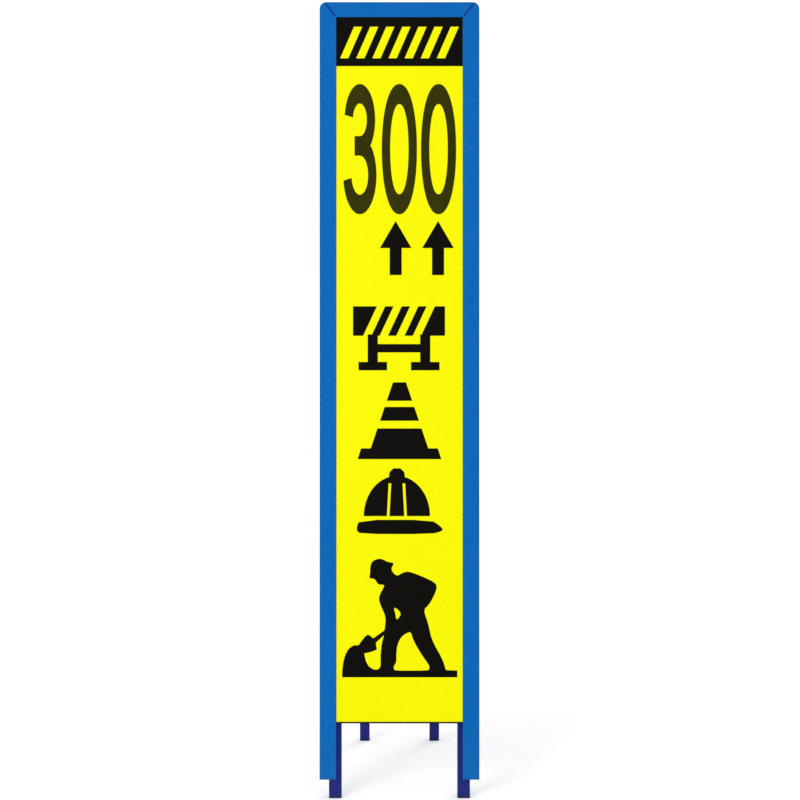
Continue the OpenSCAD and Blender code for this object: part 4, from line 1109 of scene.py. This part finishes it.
# Stage, light and camera
WHITE = (1.0, 1.0, 1.0, 1.0)
FLOOR_TONE = (0.86, 0.86, 0.86, 1.0)
FLOOR_HALF = 30.0
FILL = 0.68
FLOOR_GLOW = (0.32, 0.6)
GLOW_RUN = (1.2, 5.0)


def seen_share(tree):
    """1 for what the camera, a mirror or glass sees, and 0 for the light that falls on things."""
    path = add_node(tree, "ShaderNodeLightPath").outputs
    seen = maths(tree, "MAXIMUM", path["Is Camera Ray"], path["Is Glossy Ray"])
    return maths(tree, "MAXIMUM", seen, path["Is Transmission Ray"])


def add_floor():
    """A pale floor that looks white and still takes the shadow."""
    data = bpy.data.meshes.new("studio_floor")
    corners = [(-FLOOR_HALF, -FLOOR_HALF, 0), (FLOOR_HALF, -FLOOR_HALF, 0),
               (FLOOR_HALF, FLOOR_HALF, 0), (-FLOOR_HALF, FLOOR_HALF, 0)]
    data.from_pydata(corners, [], [(0, 1, 2, 3)])
    floor = shown("studio_floor", data)
    material, tree, sockets = new_material("Pale studio floor", roughness=0.9, specular=0.0)
    sockets["Base Color"].default_value = FLOOR_TONE
    sockets["Emission Color"].default_value = WHITE
    glow = ranged(tree, vector_maths(tree, "LENGTH", place_of(tree)), GLOW_RUN, FLOOR_GLOW)
    tree.links.new(maths(tree, "MULTIPLY", seen_share(tree), glow), sockets["Emission Strength"])
    data.materials.append(material)


def light_world():
    """Even white light from all round, and a white background."""
    world = bpy.data.worlds.new("Soft studio")
    bpy.context.scene.world = world
    world.use_nodes = True
    tree = world.node_tree
    strength = ranged(tree, seen_share(tree), UNIT_SPAN, (FILL, 1.0))
    tree.links.new(strength, tree.nodes["Background"].inputs["Strength"])
    tree.nodes["Background"].inputs["Color"].default_value = WHITE


def add_lamp(name, place, aim, size, power):
    """A round soft lamp that faces a point."""
    data = bpy.data.lights.new(name, "AREA")
    data.shape = "DISK"
    data.size = size
    data.energy = power
    lamp = shown(name, data)
    lamp.location = place
    lamp.rotation_euler = (Vector(aim) - Vector(place)).to_track_quat("-Z", "Y").to_euler()


CAMERA_AWAY = 8.4
CAMERA_REACH = 100.0
SENSOR = 36.0
PIXEL = 1.9696 * MM
PICTURE = 800
AIM_X = 1.0 * MM
AIM_HEIGHT = 785.9 * MM


def add_camera():
    """Square on to the leaning face, far enough for the photograph's flat perspective."""
    aim = on_face(AIM_X, 0, AIM_HEIGHT)
    data = bpy.data.cameras.new("Front camera")
    data.sensor_width = SENSOR
    data.lens = SENSOR * CAMERA_AWAY / (PIXEL * PICTURE)
    data.clip_end = CAMERA_REACH
    camera = shown("Front camera", data)
    camera.location = aim + FACE_OUT * CAMERA_AWAY
    camera.rotation_euler = (-FACE_OUT).to_track_quat("-Z", "Y").to_euler()
    bpy.context.scene.camera = camera


for node_name in frame["nodes"]:
    dress_node(node_name)
add_corner_beads()
add_beads("crossbar_weld_beads", crossbar_paths(), "frame", "indigo_paint", TUBE_BEAD)
add_beads("bracket_weld_beads", fork_paths(), "frame", "indigo_paint", BRACKET_BEAD)
add_beads("bottom_rail_beads", bottom_rail_paths(), "frame", "indigo_paint", RAIL_BEAD)
add_beads("rear_frame_beads", rear_frame_paths(), "rear_leg", "indigo_paint", TUBE_BEAD)
add_beads("stay_hook_beads", stay_hook_paths(), "stay", "stay_zinc", HOOK_BEAD)
add_leg_bolts()
add_pivot_bolts()
add_studs()
add_floor()
light_world()
add_lamp("Key lamp", place=(-2.6, -4.8, 2.6), aim=(0, 0, 0.7), size=2.6, power=112.0)
add_lamp("Rear lamp", place=(2.4, 4.2, 3.4), aim=(0, 0, 0.8), size=2.6, power=70.0)
add_camera()

bpy.context.scene.view_settings.view_transform = "Standard"
